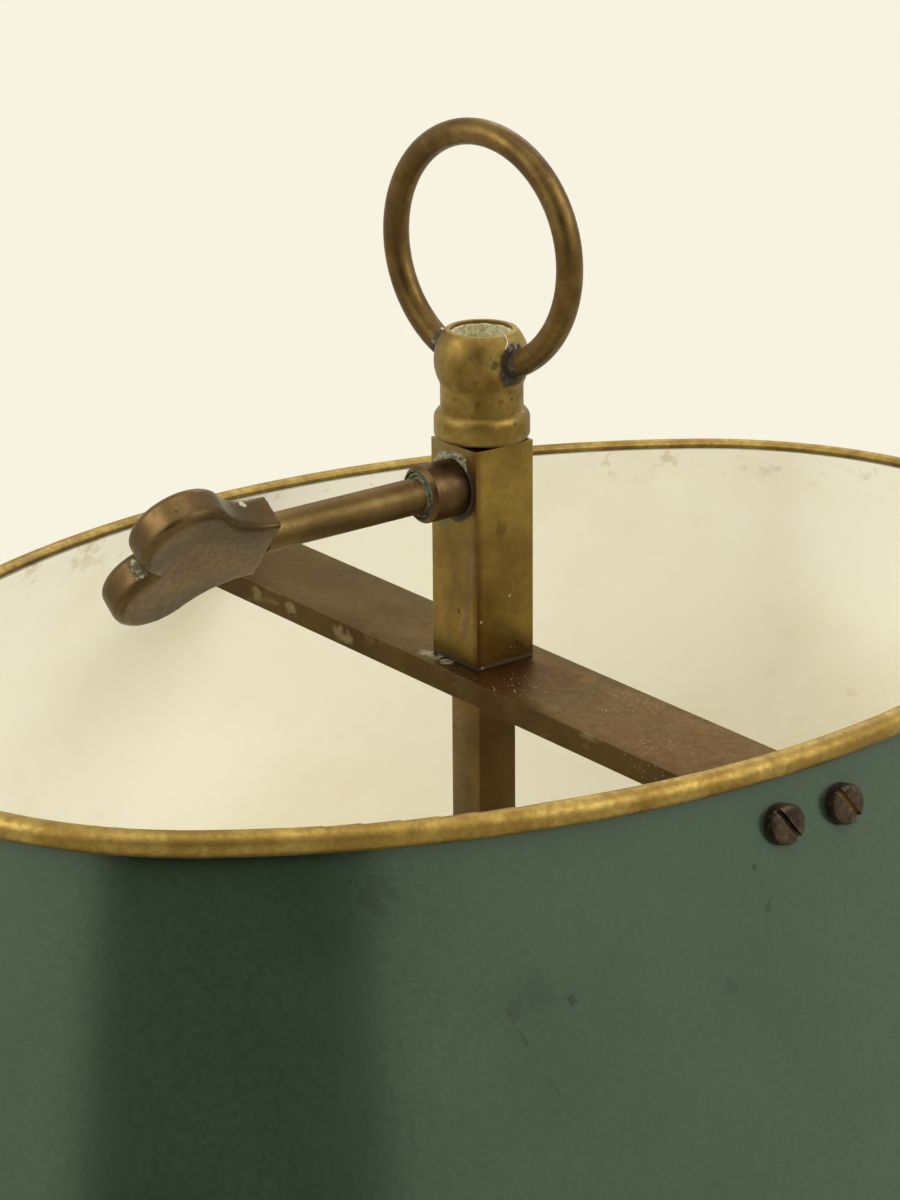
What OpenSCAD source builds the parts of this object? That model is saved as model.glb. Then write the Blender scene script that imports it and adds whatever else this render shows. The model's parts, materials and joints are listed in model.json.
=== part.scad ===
// Bouillotte lamp: a dished base, a stem with two candle arms, and an oval metal shade that
// slides on a square post and is held there by a heart-shaped thumb screw.
// Origin: centre of the base's underside. X runs along the shade's crossbar and Y along the
// arms. The shade is shown at the top of its travel.

/* [Base] */
// Thickness of the felt under the base
felt_t = 1.5; // [1:0.1:3]
// Diameter of the foot where it stands
foot_d = 160; // [150:1:170]
// Height of the cast foot
foot_h = 24; // [22:0.5:30]
// Height of the foot's straight lower band
band_h = 11; // [10.5:0.5:12]
// Radius of the hollow moulding above the band
foot_cove_r = 8; // [5:0.5:9]
// Wall and deck of the hollow foot
foot_wall = 3; // [2:0.25:4]
// Thickness of the cast-iron weight
weight_t = 9; // [6:0.5:10]
// Outside radius of the dish
dish_r = 92; // [88:0.5:100]
// Height of the dish's side
dish_h = 16; // [13:0.5:22]
// Radius of the curve between the dish's floor and side
dish_curve_r = 10; // [6:0.5:12]
// Thickness of the dish's metal
dish_t = 1.6; // [1:0.1:2.5]
// Radius of the rolled bead on the dish's edge
dish_bead_r = 2; // [1.5:0.1:3]

/* [Cord inlet and wiring] */
// Bore of the bush that the cord passes through
inlet_d = 6; // [5:0.1:6.4]
// Wall of the inlet bush
bush_wall = 1; // [0.8:0.1:1.2]
// Diameter of the leads inside the stem
lead_d = 3; // [2:0.1:3.4]
// Diameter of the leads inside the arms
arm_lead_d = 2.4; // [1.5:0.1:3]
// Length of the terminal block
block_l = 24; // [18:0.5:30]
// Width of the terminal block
block_w = 16; // [12:0.5:20]

/* [Stem] */
// Height of the bell-shaped pedestal
pedestal_h = 62; // [56:0.5:75]
// Radius of the pedestal's bell
bell_r = 32; // [30:0.5:36]
// Wall of the pedestal
bell_wall = 3.5; // [2.5:0.25:4.5]
// Height of the turned column
column_h = 128; // [110:1:150]
// Radius of the column at the foot of its shaft
shaft_foot_r = 9.5; // [8.5:0.25:11]
// Radius of the column at the head of its shaft
shaft_head_r = 8; // [7.5:0.25:9.5]
// Diameter of the threaded tie rod
rod_d = 10; // [9:0.1:11]
// Bore of the tie rod
rod_bore_d = 6; // [5:0.1:7]
// Height of the tie rod's nuts
nut_h = 4.5; // [4:0.1:5]
// Width of those nuts across their flats
nut_af = 15; // [14:0.1:16]

/* [Switch] */
// Height of the switch above the dish's floor
switch_up = 14; // [12:0.5:16]
// Size of the square switch body
switch_w = 18; // [16:0.5:18]
// Length of the switch body
switch_l = 12; // [10:0.5:13]
// Diameter of the switch's threaded neck
neck_d = 9.8; // [9:0.1:11]
// Diameter of the knob's shaft
shaft_d = 4; // [3:0.1:5]
// Diameter of the knob
knob_d = 13; // [10:0.1:15]
// Length of the knob
knob_l = 12; // [9:0.5:16]
// Number of finger grooves round the knob
knob_grooves = 12; // [6:1:16]

/* [Hub and arms] */
// Height of the hub
hub_h = 28; // [25:0.5:34]
// Radius of the hub
hub_r = 16; // [15:0.25:18]
// Wall round the hub's wiring space
hub_wall = 5; // [3.5:0.25:5.5]
// Height of the turned cap on the hub
cap_h = 24; // [22:0.5:30]
// Outside diameter of an arm
arm_d = 8; // [7:0.1:9]
// Wall of an arm's tube
arm_wall = 1.5; // [1:0.1:1.8]
// Radius of the arm's first curve, which bends down
drop_r = 45; // [40:0.5:47]
// Radius of the arm's second curve, which bends up
rise_r = 34; // [30:0.5:35]

/* [Candle lights] */
// Radius of a drip pan inside its bead
pan_r = 21; // [18:0.25:22]
// Rise of a drip pan's edge
pan_rise = 6; // [4:0.5:8]
// Thickness of a drip pan's metal
pan_t = 1.2; // [0.8:0.1:1.6]
// Height of a candle cup
cup_h = 24; // [20:0.5:28]
// Radius of a candle cup
cup_r = 14.5; // [14:0.1:15.5]
// Radius of a candle sleeve
candle_r = 12.2; // [12:0.1:12.6]
// Wall of a candle sleeve
candle_wall = 1; // [0.8:0.1:1.2]
// Height of a candle sleeve
candle_h = 64; // [56:0.5:68]
// Diameter of the bulb's screw cap
bulb_cap_d = 14; // [12:0.1:14.4]
// Length of the bulb's screw cap
bulb_cap_h = 21; // [18:0.5:24]
// Greatest diameter of the bulb's glass
glass_d = 35; // [30:0.5:36]
// Length of the bulb's glass
glass_h = 78; // [70:1:82]
// Thickness of the bulb's glass
glass_t = 1; // [0.6:0.1:1.4]

/* [Post and finial] */
// Side of the square post
post_w = 8.2; // [7.4:0.1:8.6]
// Length of post between the hub's cap and the finial
post_l = 227; // [200:1:240]
// Depth of the square socket that holds the post
socket_depth = 12; // [9:0.5:14]
// Radius of the finial's collar
collar_r = 8.45; // [7.8:0.05:9]
// Radius of the finial's neck
finial_neck_r = 7.3; // [6.9:0.05:7.5]
// Radius of the finial's ball
ball_r = 8.35; // [8:0.05:8.6]
// Height of the finial
finial_h = 19.3; // [18.5:0.1:20]
// Radius of the open hole in the finial's top
finial_hole_r = 5.45; // [5:0.05:5.6]
// Depth of that hole
finial_hole_h = 8; // [7:0.25:8.5]
// Radius of the carrying ring, to the middle of its wire
ring_r = 20.6; // [18:0.1:24]
// Diameter of the ring's wire
ring_wire_d = 4.6; // [4:0.1:5]
// Turn of the ring from the line of the crossbar
ring_turn = 8.1; // [-10:0.1:10]

/* [Shade] */
// Height of the shade's wall
shade_h = 125; // [110:1:140]
// Spread of the wall from its top edge to its bottom edge
shade_flare = 45.5; // [36:0.5:52]
// Thickness of the shade's metal
shade_t = 0.8; // [0.6:0.1:1.2]
// Radius of the oval's two ends at the top edge
end_r = 63.35; // [62:0.05:66]
// Unit of the oval's 3-4-5 triangle, which sets how long the oval is
oval_unit = 18.7; // [18:0.05:20]
// Height of the shade's top edge above the crossbar
rim_up = 7.5; // [6.5:0.1:9]
// Radius of the beads on both edges
bead_r = 2.15; // [1.8:0.05:2.5]
// Distance of a bead's middle from the wall
bead_out = 1; // [0.5:0.05:1.4]
// Distance of a bead's middle from the edge
bead_in = 0.6; // [0.3:0.05:1]

/* [Slide] */
// Width of the crossbar
bar_w = 20; // [18:0.25:22]
// Thickness of the crossbar
bar_t = 4.5; // [4:0.1:5.5]
// Side of the square sleeve
sleeve_w = 12.7; // [12:0.1:13.5]
// Wall of the square sleeve
sleeve_wall = 1.2; // [1:0.05:1.5]
// Height of the sleeve above the crossbar
sleeve_h = 40.5; // [38:0.25:50]
// Spacing of the two screws in each end of the crossbar
screw_gap = 12.8; // [11:0.1:13]
// Diameter of a crossbar screw's head
screw_head_d = 6.8; // [6:0.1:7.2]
// Height of a crossbar screw's head
screw_head_h = 2.3; // [1.8:0.1:2.6]
// Diameter of a crossbar screw's shank
screw_d = 2.6; // [2.2:0.1:2.8]
// Length of a crossbar screw's shank
screw_l = 7; // [5:0.5:7.5]
// Upward tilt of the crossbar screws, degrees
screw_tilt = 10; // [4:0.5:10]

/* [Thumb screw] */
// Height of the thumb screw above the crossbar
key_up = 32.8; // [30:0.1:34]
// Diameter of the thumb screw's rod
key_rod_d = 6.4; // [5.8:0.1:6.6]
// Outside diameter of the threaded boss
boss_d = 10.25; // [9.5:0.05:11]
// Length of the threaded boss
boss_l = 7.9; // [6.5:0.1:9]
// Distance from the post's middle to the heart's flat end
heart_start = 47.6; // [44:0.1:49]
// Thickness of the heart
heart_t = 6.5; // [5.6:0.1:7]
// Bevel round the heart's faces, which runs out at its flat end
heart_bevel = 1; // [0.6:0.1:1.2]
// Radius of the heart's two lobes
lobe_r = 8.4; // [8:0.1:8.8]
// Sideways distance of a lobe's middle
lobe_side = 7.3; // [7:0.1:7.6]
// Distance from the heart's flat end to the lobes' middles
lobe_out = 18.9; // [18:0.1:20.5]
// Half width of the heart's flat end
heart_half = 7; // [6.4:0.1:7.2]
// Turn of the heart about its rod
heart_turn = 52; // [0:1:90]

/* [Fits] */
// Clearance all round between the post and the crossbar's hole
slide_clear = 0.2; // [0.15:0.05:0.3]
// Gap between the sleeve and the finial at the top of the travel
top_gap = 0.5; // [0.4:0.1:1]
// Radial clearance of a turning shaft
turn_clear = 0.05; // [0.02:0.01:0.1]
// Radial clearance of a screwed or soldered joint
seat_clear = 0.05; // [0.02:0.01:0.1]
// Clearance all round a piece that only drops into place
drop_clear = 0.2; // [0.1:0.05:0.3]
// Gap between the thumb screw's tip and the post
tip_gap = 0.3; // [0.3:0.05:0.5]

/* [Hidden] */
$fn = 96;
eps = 1; // how far a cutter runs past what it cuts

// Heights of the seats, from the table up.
foot_z = felt_t;
deck_z = foot_z + foot_h;
deck_under_z = deck_z - foot_wall;
weight_z = deck_under_z - weight_t;
washer_t = 1.5;
washer_r = nut_af / 2 + 2.5;
lower_nut_z = weight_z - washer_t - nut_h;
nut_stick_out = 0.5;
rod_z = lower_nut_z - nut_stick_out;
floor_z = deck_z + dish_t;
column_z = floor_z + pedestal_h;
hub_z = column_z + column_h;
hub_floor = 4;
hub_top_z = hub_z + hub_h;
cap_top_z = hub_top_z + cap_h;
post_z = cap_top_z - socket_depth;
post_top_z = cap_top_z + post_l;
rod_top_z = hub_z + hub_floor + nut_h + nut_stick_out;

// The screw that holds the post passes through the hub's cap, whose spigot centres it.
post_screw_d = 4;
cap_spigot_h = 4;

// The slide, whose sleeve stops under the finial.
bar_top_z = post_top_z - top_gap - sleeve_h;
bar_z = bar_top_z - bar_t;
key_z = bar_top_z + key_up;
shade_top_z = bar_top_z + rim_up;
shade_z = shade_top_z - shade_h;
shade_slope = shade_flare / shade_h;

// The shade is a four-centre oval. Its centres stand 3 and 4 units out, so that the arcs meet
// on the line of a 3-4-5 triangle and share a tangent there.
end_centre = 3 * oval_unit;
side_centre = 4 * oval_unit;
side_r = end_r + 5 * oval_unit;
wedge_reach = 50; // the wedges that part the arcs reach this many times 3, 4 and 5 out

// The arms' two curves meet on a 3-4-5 line as well.
arm_z = hub_z + hub_h / 2;
arm_root = hub_r + 0.6;
drop_centre = [arm_root, arm_z - drop_r];
rise_centre = drop_centre + (drop_r + rise_r) * [0.6, 0.8];
arm_reach = rise_centre[0] + rise_r;
arm_end_z = rise_centre[1];
arm_seat_r = arm_d / 2 + 4;
arm_seat_h = 3;
pan_z = arm_end_z + arm_seat_h;
cup_z = pan_z + pan_t;
cup_floor = 5;
sleeve_seat = 8; // the candle sleeve stands on a step this far above the cup's floor
candle_z = cup_z + cup_floor;
candle_top_z = candle_z + candle_h;
arm_tip_z = candle_z + 6;

// The lamp holder hides inside the candle, just under its edge.
holder_r = candle_r - candle_wall - drop_clear;
holder_top_z = candle_top_z - 1.5;
holder_cup_h = bulb_cap_h + 3;
holder_cup_z = holder_top_z - holder_cup_h;
holder_floor = 3;
bulb_z = holder_cup_z + holder_floor;
glass_z = candle_top_z;

// Bores and holes that follow what passes through them.
rod_hole_r = rod_d / 2 + drop_clear;
lead_hole_r = lead_d / 2 + 1;
lead_bend_r = lead_d;
lead_z = rod_z - lead_d / 2 - nut_stick_out;
switch_lead_x = 18;
hub_space_r = hub_r - hub_wall;
inlet_z = foot_z + band_h / 2;
bush_r = inlet_d / 2 + bush_wall;
bush_flange_t = 1.5;
bush_flange_r = bush_r + 1.2;
foot_band_r = foot_d / 2;
foot_top_r = foot_band_r - foot_cove_r;
foot_space_r = foot_top_r - foot_wall - 1;
block_face_x = -(washer_r + foot_space_r - block_l) / 2;
dish_flat_r = dish_r - dish_curve_r;
bell_top_r = 14;
pedestal_neck_r = 12;
pedestal_top_h = 4;
column_foot_r = 14;
moulding_h = 8;

// The switch, whose square body stands just inside the bell's round wall.
drum_h = switch_up + 8;
switch_flat = 0.8;
neck_step = 1.5;
neck_end_x = bell_r + 4;
switch_face_x = sqrt(pow(bell_r - bell_wall, 2) - pow(neck_d / 2 + neck_step, 2));
switch_back_x = sqrt(pow(bell_r - bell_wall, 2) - pow(switch_w / 2, 2)) - drop_clear - switch_l;

// The finial. Its ring crosses the ball's middle at ring_foot from the axis.
stud_d = 5;
stud_half = 7.5;
collar_foot_r = 0.9;
collar_h = 2.4;
shoulder_r = 2;
ball_up = finial_h - 5.5;
ball_cove_r = 2;
ring_foot = 6.9;
ring_z = post_top_z + ball_up + sqrt(ring_r * ring_r - ring_foot * ring_foot);
ring_socket_wall = 0.35;

// The thumb screw's tenon, which is riveted into the heart.
key_tenon_d = 4;
key_tenon_l = 6;

// ---- Shapes that repeat ----

// A hexagonal nut whose bore follows the rod it runs on.
module hex_nut(flats, height, bore_r) {
    difference() {
        cylinder(r = flats / sqrt(3), h = height, $fn = 6);
        translate([0, 0, -eps]) cylinder(r = bore_r, h = height + 2 * eps);
    }
}

// A straight rod along X from x1 to x2.
module rod_x(x1, x2, r) {
    translate([x1, 0, 0]) rotate([0, 90, 0]) cylinder(r = r, h = x2 - x1);
}

// A straight rod along Y from y1 to y2.
module rod_y(y1, y2, r) {
    translate([0, y2, 0]) rotate([90, 0, 0]) cylinder(r = r, h = y2 - y1);
}

// The part of a revolve about the Z axis of one of the oval's centres that its wedge keeps.
module oval_arc(centre, radius, toward) {
    long = wedge_reach * (toward[0] != 0 ? 4 : 3);
    wide = wedge_reach * (toward[0] != 0 ? 3 : 4);
    side = [toward[1], toward[0]];
    base = [centre[0], centre[1]];
    tall = shade_h + 40;
    intersection() {
        translate([centre[0], centre[1], shade_z])
            rotate_extrude($fn = 180) translate([radius, 0]) children();
        translate([0, 0, shade_z - 20]) linear_extrude(tall) polygon([
            base,
            base + long * toward + wide * side,
            base + 2 * long * toward + wide * side,
            base + 2 * long * toward - wide * side,
            base + long * toward - wide * side
        ]);
    }
}

// Sweeps a section round the shade. In the section X runs outward from the wall's outer face at
// the top edge, and Y runs up from the shade's bottom edge.
module round_the_shade() {
    for (s = [-1, 1]) {
        oval_arc([0, s * end_centre], end_r, [0, s]) children();
        oval_arc([-s * side_centre, 0], side_r, [s, 0]) children();
    }
}

// A bead against the wall's outer face, its middle at a height above the bottom edge.
module bead_section(height) {
    wall_x = (shade_h - height) * shade_slope;
    reach = 2 * bead_r; // the cutter that follows the wall reaches this far past the bead
    difference() {
        translate([wall_x + bead_out, height]) circle(r = bead_r, $fn = 32);
        translate([wall_x, height]) polygon([
            [-reach * shade_slope, reach], [reach * shade_slope, -reach],
            [reach * (shade_slope - 2), -reach], [-reach * (shade_slope + 2), reach]
        ]);
    }
}

// A cone that continues the wall's outer face at the side of the oval, widened by grow.
module side_cone(side, grow) {
    translate([-side * side_centre, 0, shade_z])
        cylinder(r1 = side_r + shade_flare + grow, r2 = side_r + grow, h = shade_h, $fn = 180);
}

// Puts its child at each crossbar screw, with +X out of the shade's wall at mid thickness.
module at_crossbar_screws() {
    turn = asin(screw_gap / 2 / side_r);
    drop = shade_slope * (rim_up + bar_t / 2);
    for (end = [0, 180], s = [-1, 1])
        rotate([0, 0, end])
            translate([-side_centre, 0, bar_z + bar_t / 2])
                rotate([0, 0, s * turn])
                    translate([side_r + drop, 0, 0])
                        rotate([0, -screw_tilt, 0]) children();
}

// One arm's tube at a given radius: a straight root, the two curves and an upright tip.
module arm_run(r, root, tip) {
    translate([0, 0, arm_z]) rod_y(root, arm_root, r);
    arm_curve(drop_centre, drop_r, r, [[0, 0], [0, 2], [1.2, 1.6]]);
    arm_curve(rise_centre, rise_r, r, [[0, 0], [-1.2, -1.6], [-1.2, -2], [2, -2], [2, 0]]);
    translate([0, arm_reach, arm_end_z]) cylinder(r = r, h = tip - arm_end_z);
}

// A bent stretch of tube in the YZ plane: the part of a torus that a wedge keeps.
module arm_curve(centre, radius, r, wedge) {
    translate([0, centre[0], centre[1]]) intersection() {
        rotate([0, 90, 0]) rotate_extrude() translate([radius, 0]) circle(r = r, $fn = 32);
        rotate([90, 0, 90]) translate([0, 0, -2 * r]) linear_extrude(4 * r)
            polygon([for (p = wedge) p * radius]);
    }
}

// Places a part of the candle light on the front arm or, turned about the post, the rear one.
module on_arm(which) {
    rotate([0, 0, which == "front" ? 180 : 0]) translate([0, arm_reach, 0]) children();
}

// ---- Base ----

module felt_pad() {
    color("darkolivegreen") cylinder(r = foot_band_r - 1, h = felt_t);
}

module base_foot() {
    color("#7a6028") difference() {
        translate([0, 0, foot_z]) rotate_extrude() difference() {
            union() {
                square([foot_band_r, band_h]);
                square([foot_band_r - 1, foot_h]);
            }
            translate([foot_band_r, foot_h]) circle(r = foot_cove_r);
            translate([0, -eps]) square([foot_space_r, foot_h - foot_wall + eps]);
            translate([0, -eps]) square([rod_hole_r, foot_h + 2 * eps]);
        }
        translate([switch_lead_x, 0, deck_under_z - eps])
            cylinder(r = lead_hole_r, h = foot_wall + 2 * eps);
        translate([0, 0, inlet_z]) {
            rod_x(-foot_band_r - eps, -foot_space_r + eps, bush_r + seat_clear);
            rod_x(-foot_band_r - eps, -foot_band_r + bush_flange_t, bush_flange_r + seat_clear);
        }
    }
}

module base_weight() {
    color("dimgray") translate([0, 0, weight_z]) difference() {
        cylinder(r = foot_space_r - 1, h = weight_t);
        translate([0, 0, -eps]) cylinder(r = rod_hole_r, h = weight_t + 2 * eps);
        translate([switch_lead_x, 0, -eps]) cylinder(r = lead_hole_r, h = weight_t + 2 * eps);
    }
}

// The dish's section, filled to a height, and drawn in by a distance from its outer face.
module dish_section(inset, top) {
    translate([0, inset]) square([dish_flat_r, top - inset]);
    translate([0, dish_curve_r]) square([dish_r - inset, top - dish_curve_r]);
    intersection() {
        translate([dish_flat_r, dish_curve_r]) circle(r = dish_curve_r - inset);
        square([dish_r, dish_curve_r]);
    }
}

module base_dish() {
    color("#8a6c2c") translate([0, 0, deck_z]) difference() {
        rotate_extrude($fn = 144) {
            difference() {
                dish_section(0, dish_h);
                dish_section(dish_t, dish_h + eps);
            }
            translate([dish_r - dish_t / 2, dish_h]) circle(r = dish_bead_r, $fn = 32);
        }
        translate([0, 0, -eps]) cylinder(r = rod_hole_r, h = dish_t + 2 * eps);
        translate([switch_lead_x, 0, -eps]) cylinder(r = lead_hole_r, h = dish_t + 2 * eps);
    }
}

module cord_bush() {
    color("#a08038") translate([0, 0, inlet_z]) difference() {
        union() {
            rod_x(-foot_band_r, -foot_space_r, bush_r);
            rod_x(-foot_band_r, -foot_band_r + bush_flange_t, bush_flange_r);
        }
        rod_x(-foot_band_r - eps, -foot_space_r + eps, inlet_d / 2);
    }
}

module terminal_block() {
    block_z = lead_z - lead_d / 2 - 0.2;
    block_x = block_face_x - block_l;
    color("ivory") difference() {
        translate([block_x, -block_w / 2, block_z]) cube([block_l, block_w, weight_z - block_z]);
        for (x = [0.3, 0.7], s = [-1, 1])
            translate([block_x + x * block_l, s * block_w / 4, block_z - eps])
                cylinder(d = 3, h = eps + 2);
    }
}

// ---- Stem ----

module tie_rod() {
    color("goldenrod") translate([0, 0, rod_z]) difference() {
        cylinder(d = rod_d, h = rod_top_z - rod_z);
        translate([0, 0, -eps]) cylinder(d = rod_bore_d, h = rod_top_z - rod_z + 2 * eps);
    }
}

module lower_nut() {
    color("darkgoldenrod") {
        translate([0, 0, lower_nut_z]) hex_nut(nut_af, nut_h, rod_d / 2 + seat_clear);
        translate([0, 0, lower_nut_z + nut_h]) difference() {
            cylinder(r = washer_r, h = washer_t);
            translate([0, 0, -eps]) cylinder(r = rod_d / 2 + seat_clear, h = washer_t + 2 * eps);
        }
    }
}

module upper_nut() {
    color("darkgoldenrod") translate([0, 0, hub_z + hub_floor])
        hex_nut(nut_af, nut_h, rod_d / 2 + seat_clear);
}

// The bell's section: a straight drum under a quarter round, drawn in by a distance.
module bell_section(inset) {
    shoulder = bell_r - bell_top_r;
    square([bell_r - inset, drum_h]);
    translate([bell_top_r, drum_h]) intersection() {
        circle(r = shoulder - inset);
        translate([-bell_top_r, 0]) square([bell_r, shoulder]);
    }
    square([bell_top_r, drum_h + shoulder - inset]);
}

module pedestal() {
    bead = 2.5;
    bead_z = drum_h + bell_r - bell_top_r + bead;
    foot_bead = 2;
    color("#7d6229") translate([0, 0, floor_z]) difference() {
        rotate_extrude() difference() {
            union() {
                bell_section(0);
                square([bell_r + foot_bead, foot_bead + 1]);
                translate([bell_r, foot_bead + 1]) circle(r = foot_bead, $fn = 32);
                square([pedestal_neck_r, pedestal_h]);
                translate([pedestal_neck_r + 1, bead_z]) circle(r = bead, $fn = 32);
                translate([0, bead_z - bead]) square([pedestal_neck_r + 1, 2 * bead]);
                translate([0, pedestal_h - pedestal_top_h])
                    square([column_foot_r + 1, pedestal_top_h]);
            }
            translate([0, -eps]) square([bell_r - bell_wall, drum_h + eps]);
            bell_section(bell_wall);
            square([rod_hole_r, pedestal_h + eps]);
        }
        translate([0, 0, switch_up]) {
            rod_x(bell_r - 2 * bell_wall, bell_r + 2 * eps, neck_d / 2 + seat_clear);
            rod_x(bell_r - switch_flat, bell_r + 4, neck_d / 2 + 4);
        }
    }
}

// A ring of moulding round the column: a disc and, standing in from it, a half-round bead.
module column_moulding() {
    bead = 2.5;
    square([column_foot_r, 3]);
    translate([column_foot_r - bead + 0.5, 3 + bead]) circle(r = bead, $fn = 32);
    square([column_foot_r - bead + 0.5, moulding_h]);
}

module column() {
    ring_out = 1.5; // how far the small rings stand out from the shaft
    ring_h = 3;
    blend_h = 3;
    shaft_z = moulding_h + ring_h + blend_h;
    color("#7d6229") translate([0, 0, column_z]) rotate_extrude() difference() {
        union() {
            column_moulding();
            translate([0, column_h]) mirror([0, 1]) column_moulding();
            polygon([
                [0, 0], [shaft_foot_r + ring_out, moulding_h],
                [shaft_foot_r + ring_out, moulding_h + ring_h], [shaft_foot_r, shaft_z],
                [shaft_head_r, column_h - shaft_z],
                [shaft_head_r + ring_out, column_h - moulding_h - ring_h],
                [shaft_head_r + ring_out, column_h - moulding_h], [0, column_h]
            ]);
        }
        translate([0, -eps]) square([rod_hole_r, column_h + 2 * eps]);
    }
}

// ---- Switch ----

module switch_body() {
    color("#2b2320") translate([0, 0, floor_z + switch_up]) difference() {
        union() {
            translate([switch_back_x, -switch_w / 2, -switch_w / 2])
                cube([switch_l, switch_w, switch_w]);
            rod_x(switch_back_x + 1, switch_face_x, neck_d / 2 + neck_step);
            rod_x(switch_back_x + 1, neck_end_x, neck_d / 2);
        }
        rod_x(switch_back_x + 3, neck_end_x + eps, shaft_d / 2 + turn_clear);
    }
}

module switch_ring() {
    color("#a08038") translate([bell_r - switch_flat, 0, floor_z + switch_up]) rotate([0, 90, 0])
        hex_nut(neck_d + 4, 2.5, neck_d / 2 + seat_clear);
}

module switch_knob() {
    knob_x = neck_end_x + 0.5;
    color("#b08c3c") translate([0, 0, floor_z + switch_up]) {
        rod_x(switch_back_x + 3.5, knob_x + 1, shaft_d / 2);
        difference() {
            translate([knob_x, 0, 0]) rotate([0, 90, 0]) rotate_extrude() {
                square([knob_d / 2, knob_l - 2]);
                square([knob_d / 2 - 2, knob_l]);
                translate([knob_d / 2 - 2, knob_l - 2]) circle(r = 2, $fn = 32);
            }
            for (i = [0:knob_grooves - 1])
                rotate([i * 360 / knob_grooves, 0, 0])
                    translate([0, 0, knob_d / 2 + 0.4]) rod_x(knob_x + 2, knob_x + knob_l + eps, 1);
        }
    }
}

// ---- Hub and arms ----

module hub_body() {
    color("#7d6229") difference() {
        translate([0, 0, hub_z]) rotate_extrude() difference() {
            union() {
                square([hub_r, hub_h]);
                for (z = [3, hub_h - 3]) translate([hub_r, z]) circle(r = 1.8, $fn = 32);
            }
            translate([0, hub_floor]) square([hub_space_r, hub_h]);
            translate([0, -eps]) square([rod_hole_r, hub_h]);
        }
        translate([0, 0, arm_z]) rod_y(-hub_r - eps, hub_r + eps, arm_d / 2 + seat_clear);
    }
}

module hub_cap() {
    top_r = post_w * 0.75 + 2.4;
    color("#7d6229") difference() {
        translate([0, 0, hub_top_z]) rotate_extrude() {
            square([hub_r + 1, 3]);
            square([top_r, cap_h]);
            intersection() {
                translate([0, 3]) circle(r = hub_r - 0.5);
                translate([0, 3]) square([hub_r, hub_r]);
            }
            translate([top_r, cap_h - 2]) circle(r = 1.5, $fn = 32);
            translate([0, -cap_spigot_h])
                square([hub_space_r - seat_clear, cap_spigot_h + eps]);
        }
        translate([0, 0, post_z + socket_depth / 2 + eps / 2])
            cube([post_w + 2 * seat_clear, post_w + 2 * seat_clear, socket_depth + eps], true);
        translate([0, 0, hub_top_z - cap_spigot_h - eps])
            cylinder(d = post_screw_d + 4 * seat_clear, h = cap_h);
    }
}

module arm() {
    color("#8a6c2c") difference() {
        union() {
            arm_run(arm_d / 2, hub_space_r + 0.5, arm_tip_z);
            translate([0, 0, arm_z]) rod_y(hub_r, hub_r + 3, arm_d / 2 + 1.5);
            translate([0, arm_reach, arm_end_z]) cylinder(r = arm_seat_r, h = arm_seat_h);
        }
        arm_run(arm_d / 2 - arm_wall, hub_space_r, arm_tip_z + eps);
    }
}

module arm_front() rotate([0, 0, 180]) arm();
module arm_rear() arm();

module inner_leads() {
    lead_r = lead_d / 2;
    color("#5b2b1c") {
        // Along the base, and up to the switch and the stem.
        translate([0, 0, lead_z]) rod_x(block_face_x, switch_lead_x - lead_bend_r, lead_r);
        for (x = [0, switch_lead_x]) {
            top = x == 0 ? arm_z : floor_z + switch_up - switch_w / 2;
            translate([x - lead_bend_r, 0, lead_z + lead_bend_r]) intersection() {
                rotate([90, 0, 0]) rotate_extrude() translate([lead_bend_r, 0])
                    circle(r = lead_r, $fn = 32);
                translate([0, -2 * lead_r, -3 * lead_bend_r])
                    cube([3 * lead_bend_r, 4 * lead_r, 3 * lead_bend_r]);
            }
            translate([x, 0, lead_z + lead_bend_r])
                cylinder(r = lead_r, h = top - lead_z - lead_bend_r);
        }
        translate([0, 0, arm_z]) sphere(r = lead_r, $fn = 32);
        // Out along both arms to the lamp holders.
        for (turn = [0, 180]) rotate([0, 0, turn]) arm_run(arm_lead_d / 2, 0, holder_cup_z);
    }
}

// ---- Candle lights ----

module drip_pan(which) {
    color("#8a6c2c") on_arm(which) translate([0, 0, pan_z]) rotate_extrude() {
        difference() {
            polygon([[0, 0], [12, 0], [pan_r, pan_rise - pan_t], [pan_r, pan_rise], [12, pan_t],
                     [0, pan_t]]);
            translate([0, -eps]) square([arm_d / 2 + seat_clear, pan_t + 2 * eps]);
        }
        translate([pan_r, pan_rise]) circle(r = pan_t, $fn = 24);
    }
}

module candle_cup(which) {
    waist_r = 7.5;
    cove_r = cup_r - waist_r;
    color("#8a6c2c") on_arm(which) translate([0, 0, cup_z]) rotate_extrude() difference() {
        union() {
            difference() {
                square([cup_r, cup_h]);
                translate([cup_r, 4]) circle(r = cove_r);
                translate([waist_r, -eps]) square([cup_r, 4 + eps]);
            }
            square([waist_r + 2, 2]);
            translate([cup_r, cup_h - 1.2]) circle(r = 1.2, $fn = 32);
        }
        translate([0, cup_floor + sleeve_seat]) square([candle_r + seat_clear, cup_h]);
        translate([0, cup_floor]) square([waist_r - 1.5, cup_h]);
        translate([0, -eps]) square([arm_d / 2 + seat_clear, cup_h]);
    }
}

module candle_sleeve(which) {
    color("antiquewhite") on_arm(which) translate([0, 0, candle_z + sleeve_seat]) difference() {
        cylinder(r = candle_r, h = candle_h - sleeve_seat);
        translate([0, 0, -eps]) cylinder(r = candle_r - candle_wall, h = candle_h);
    }
}

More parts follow.
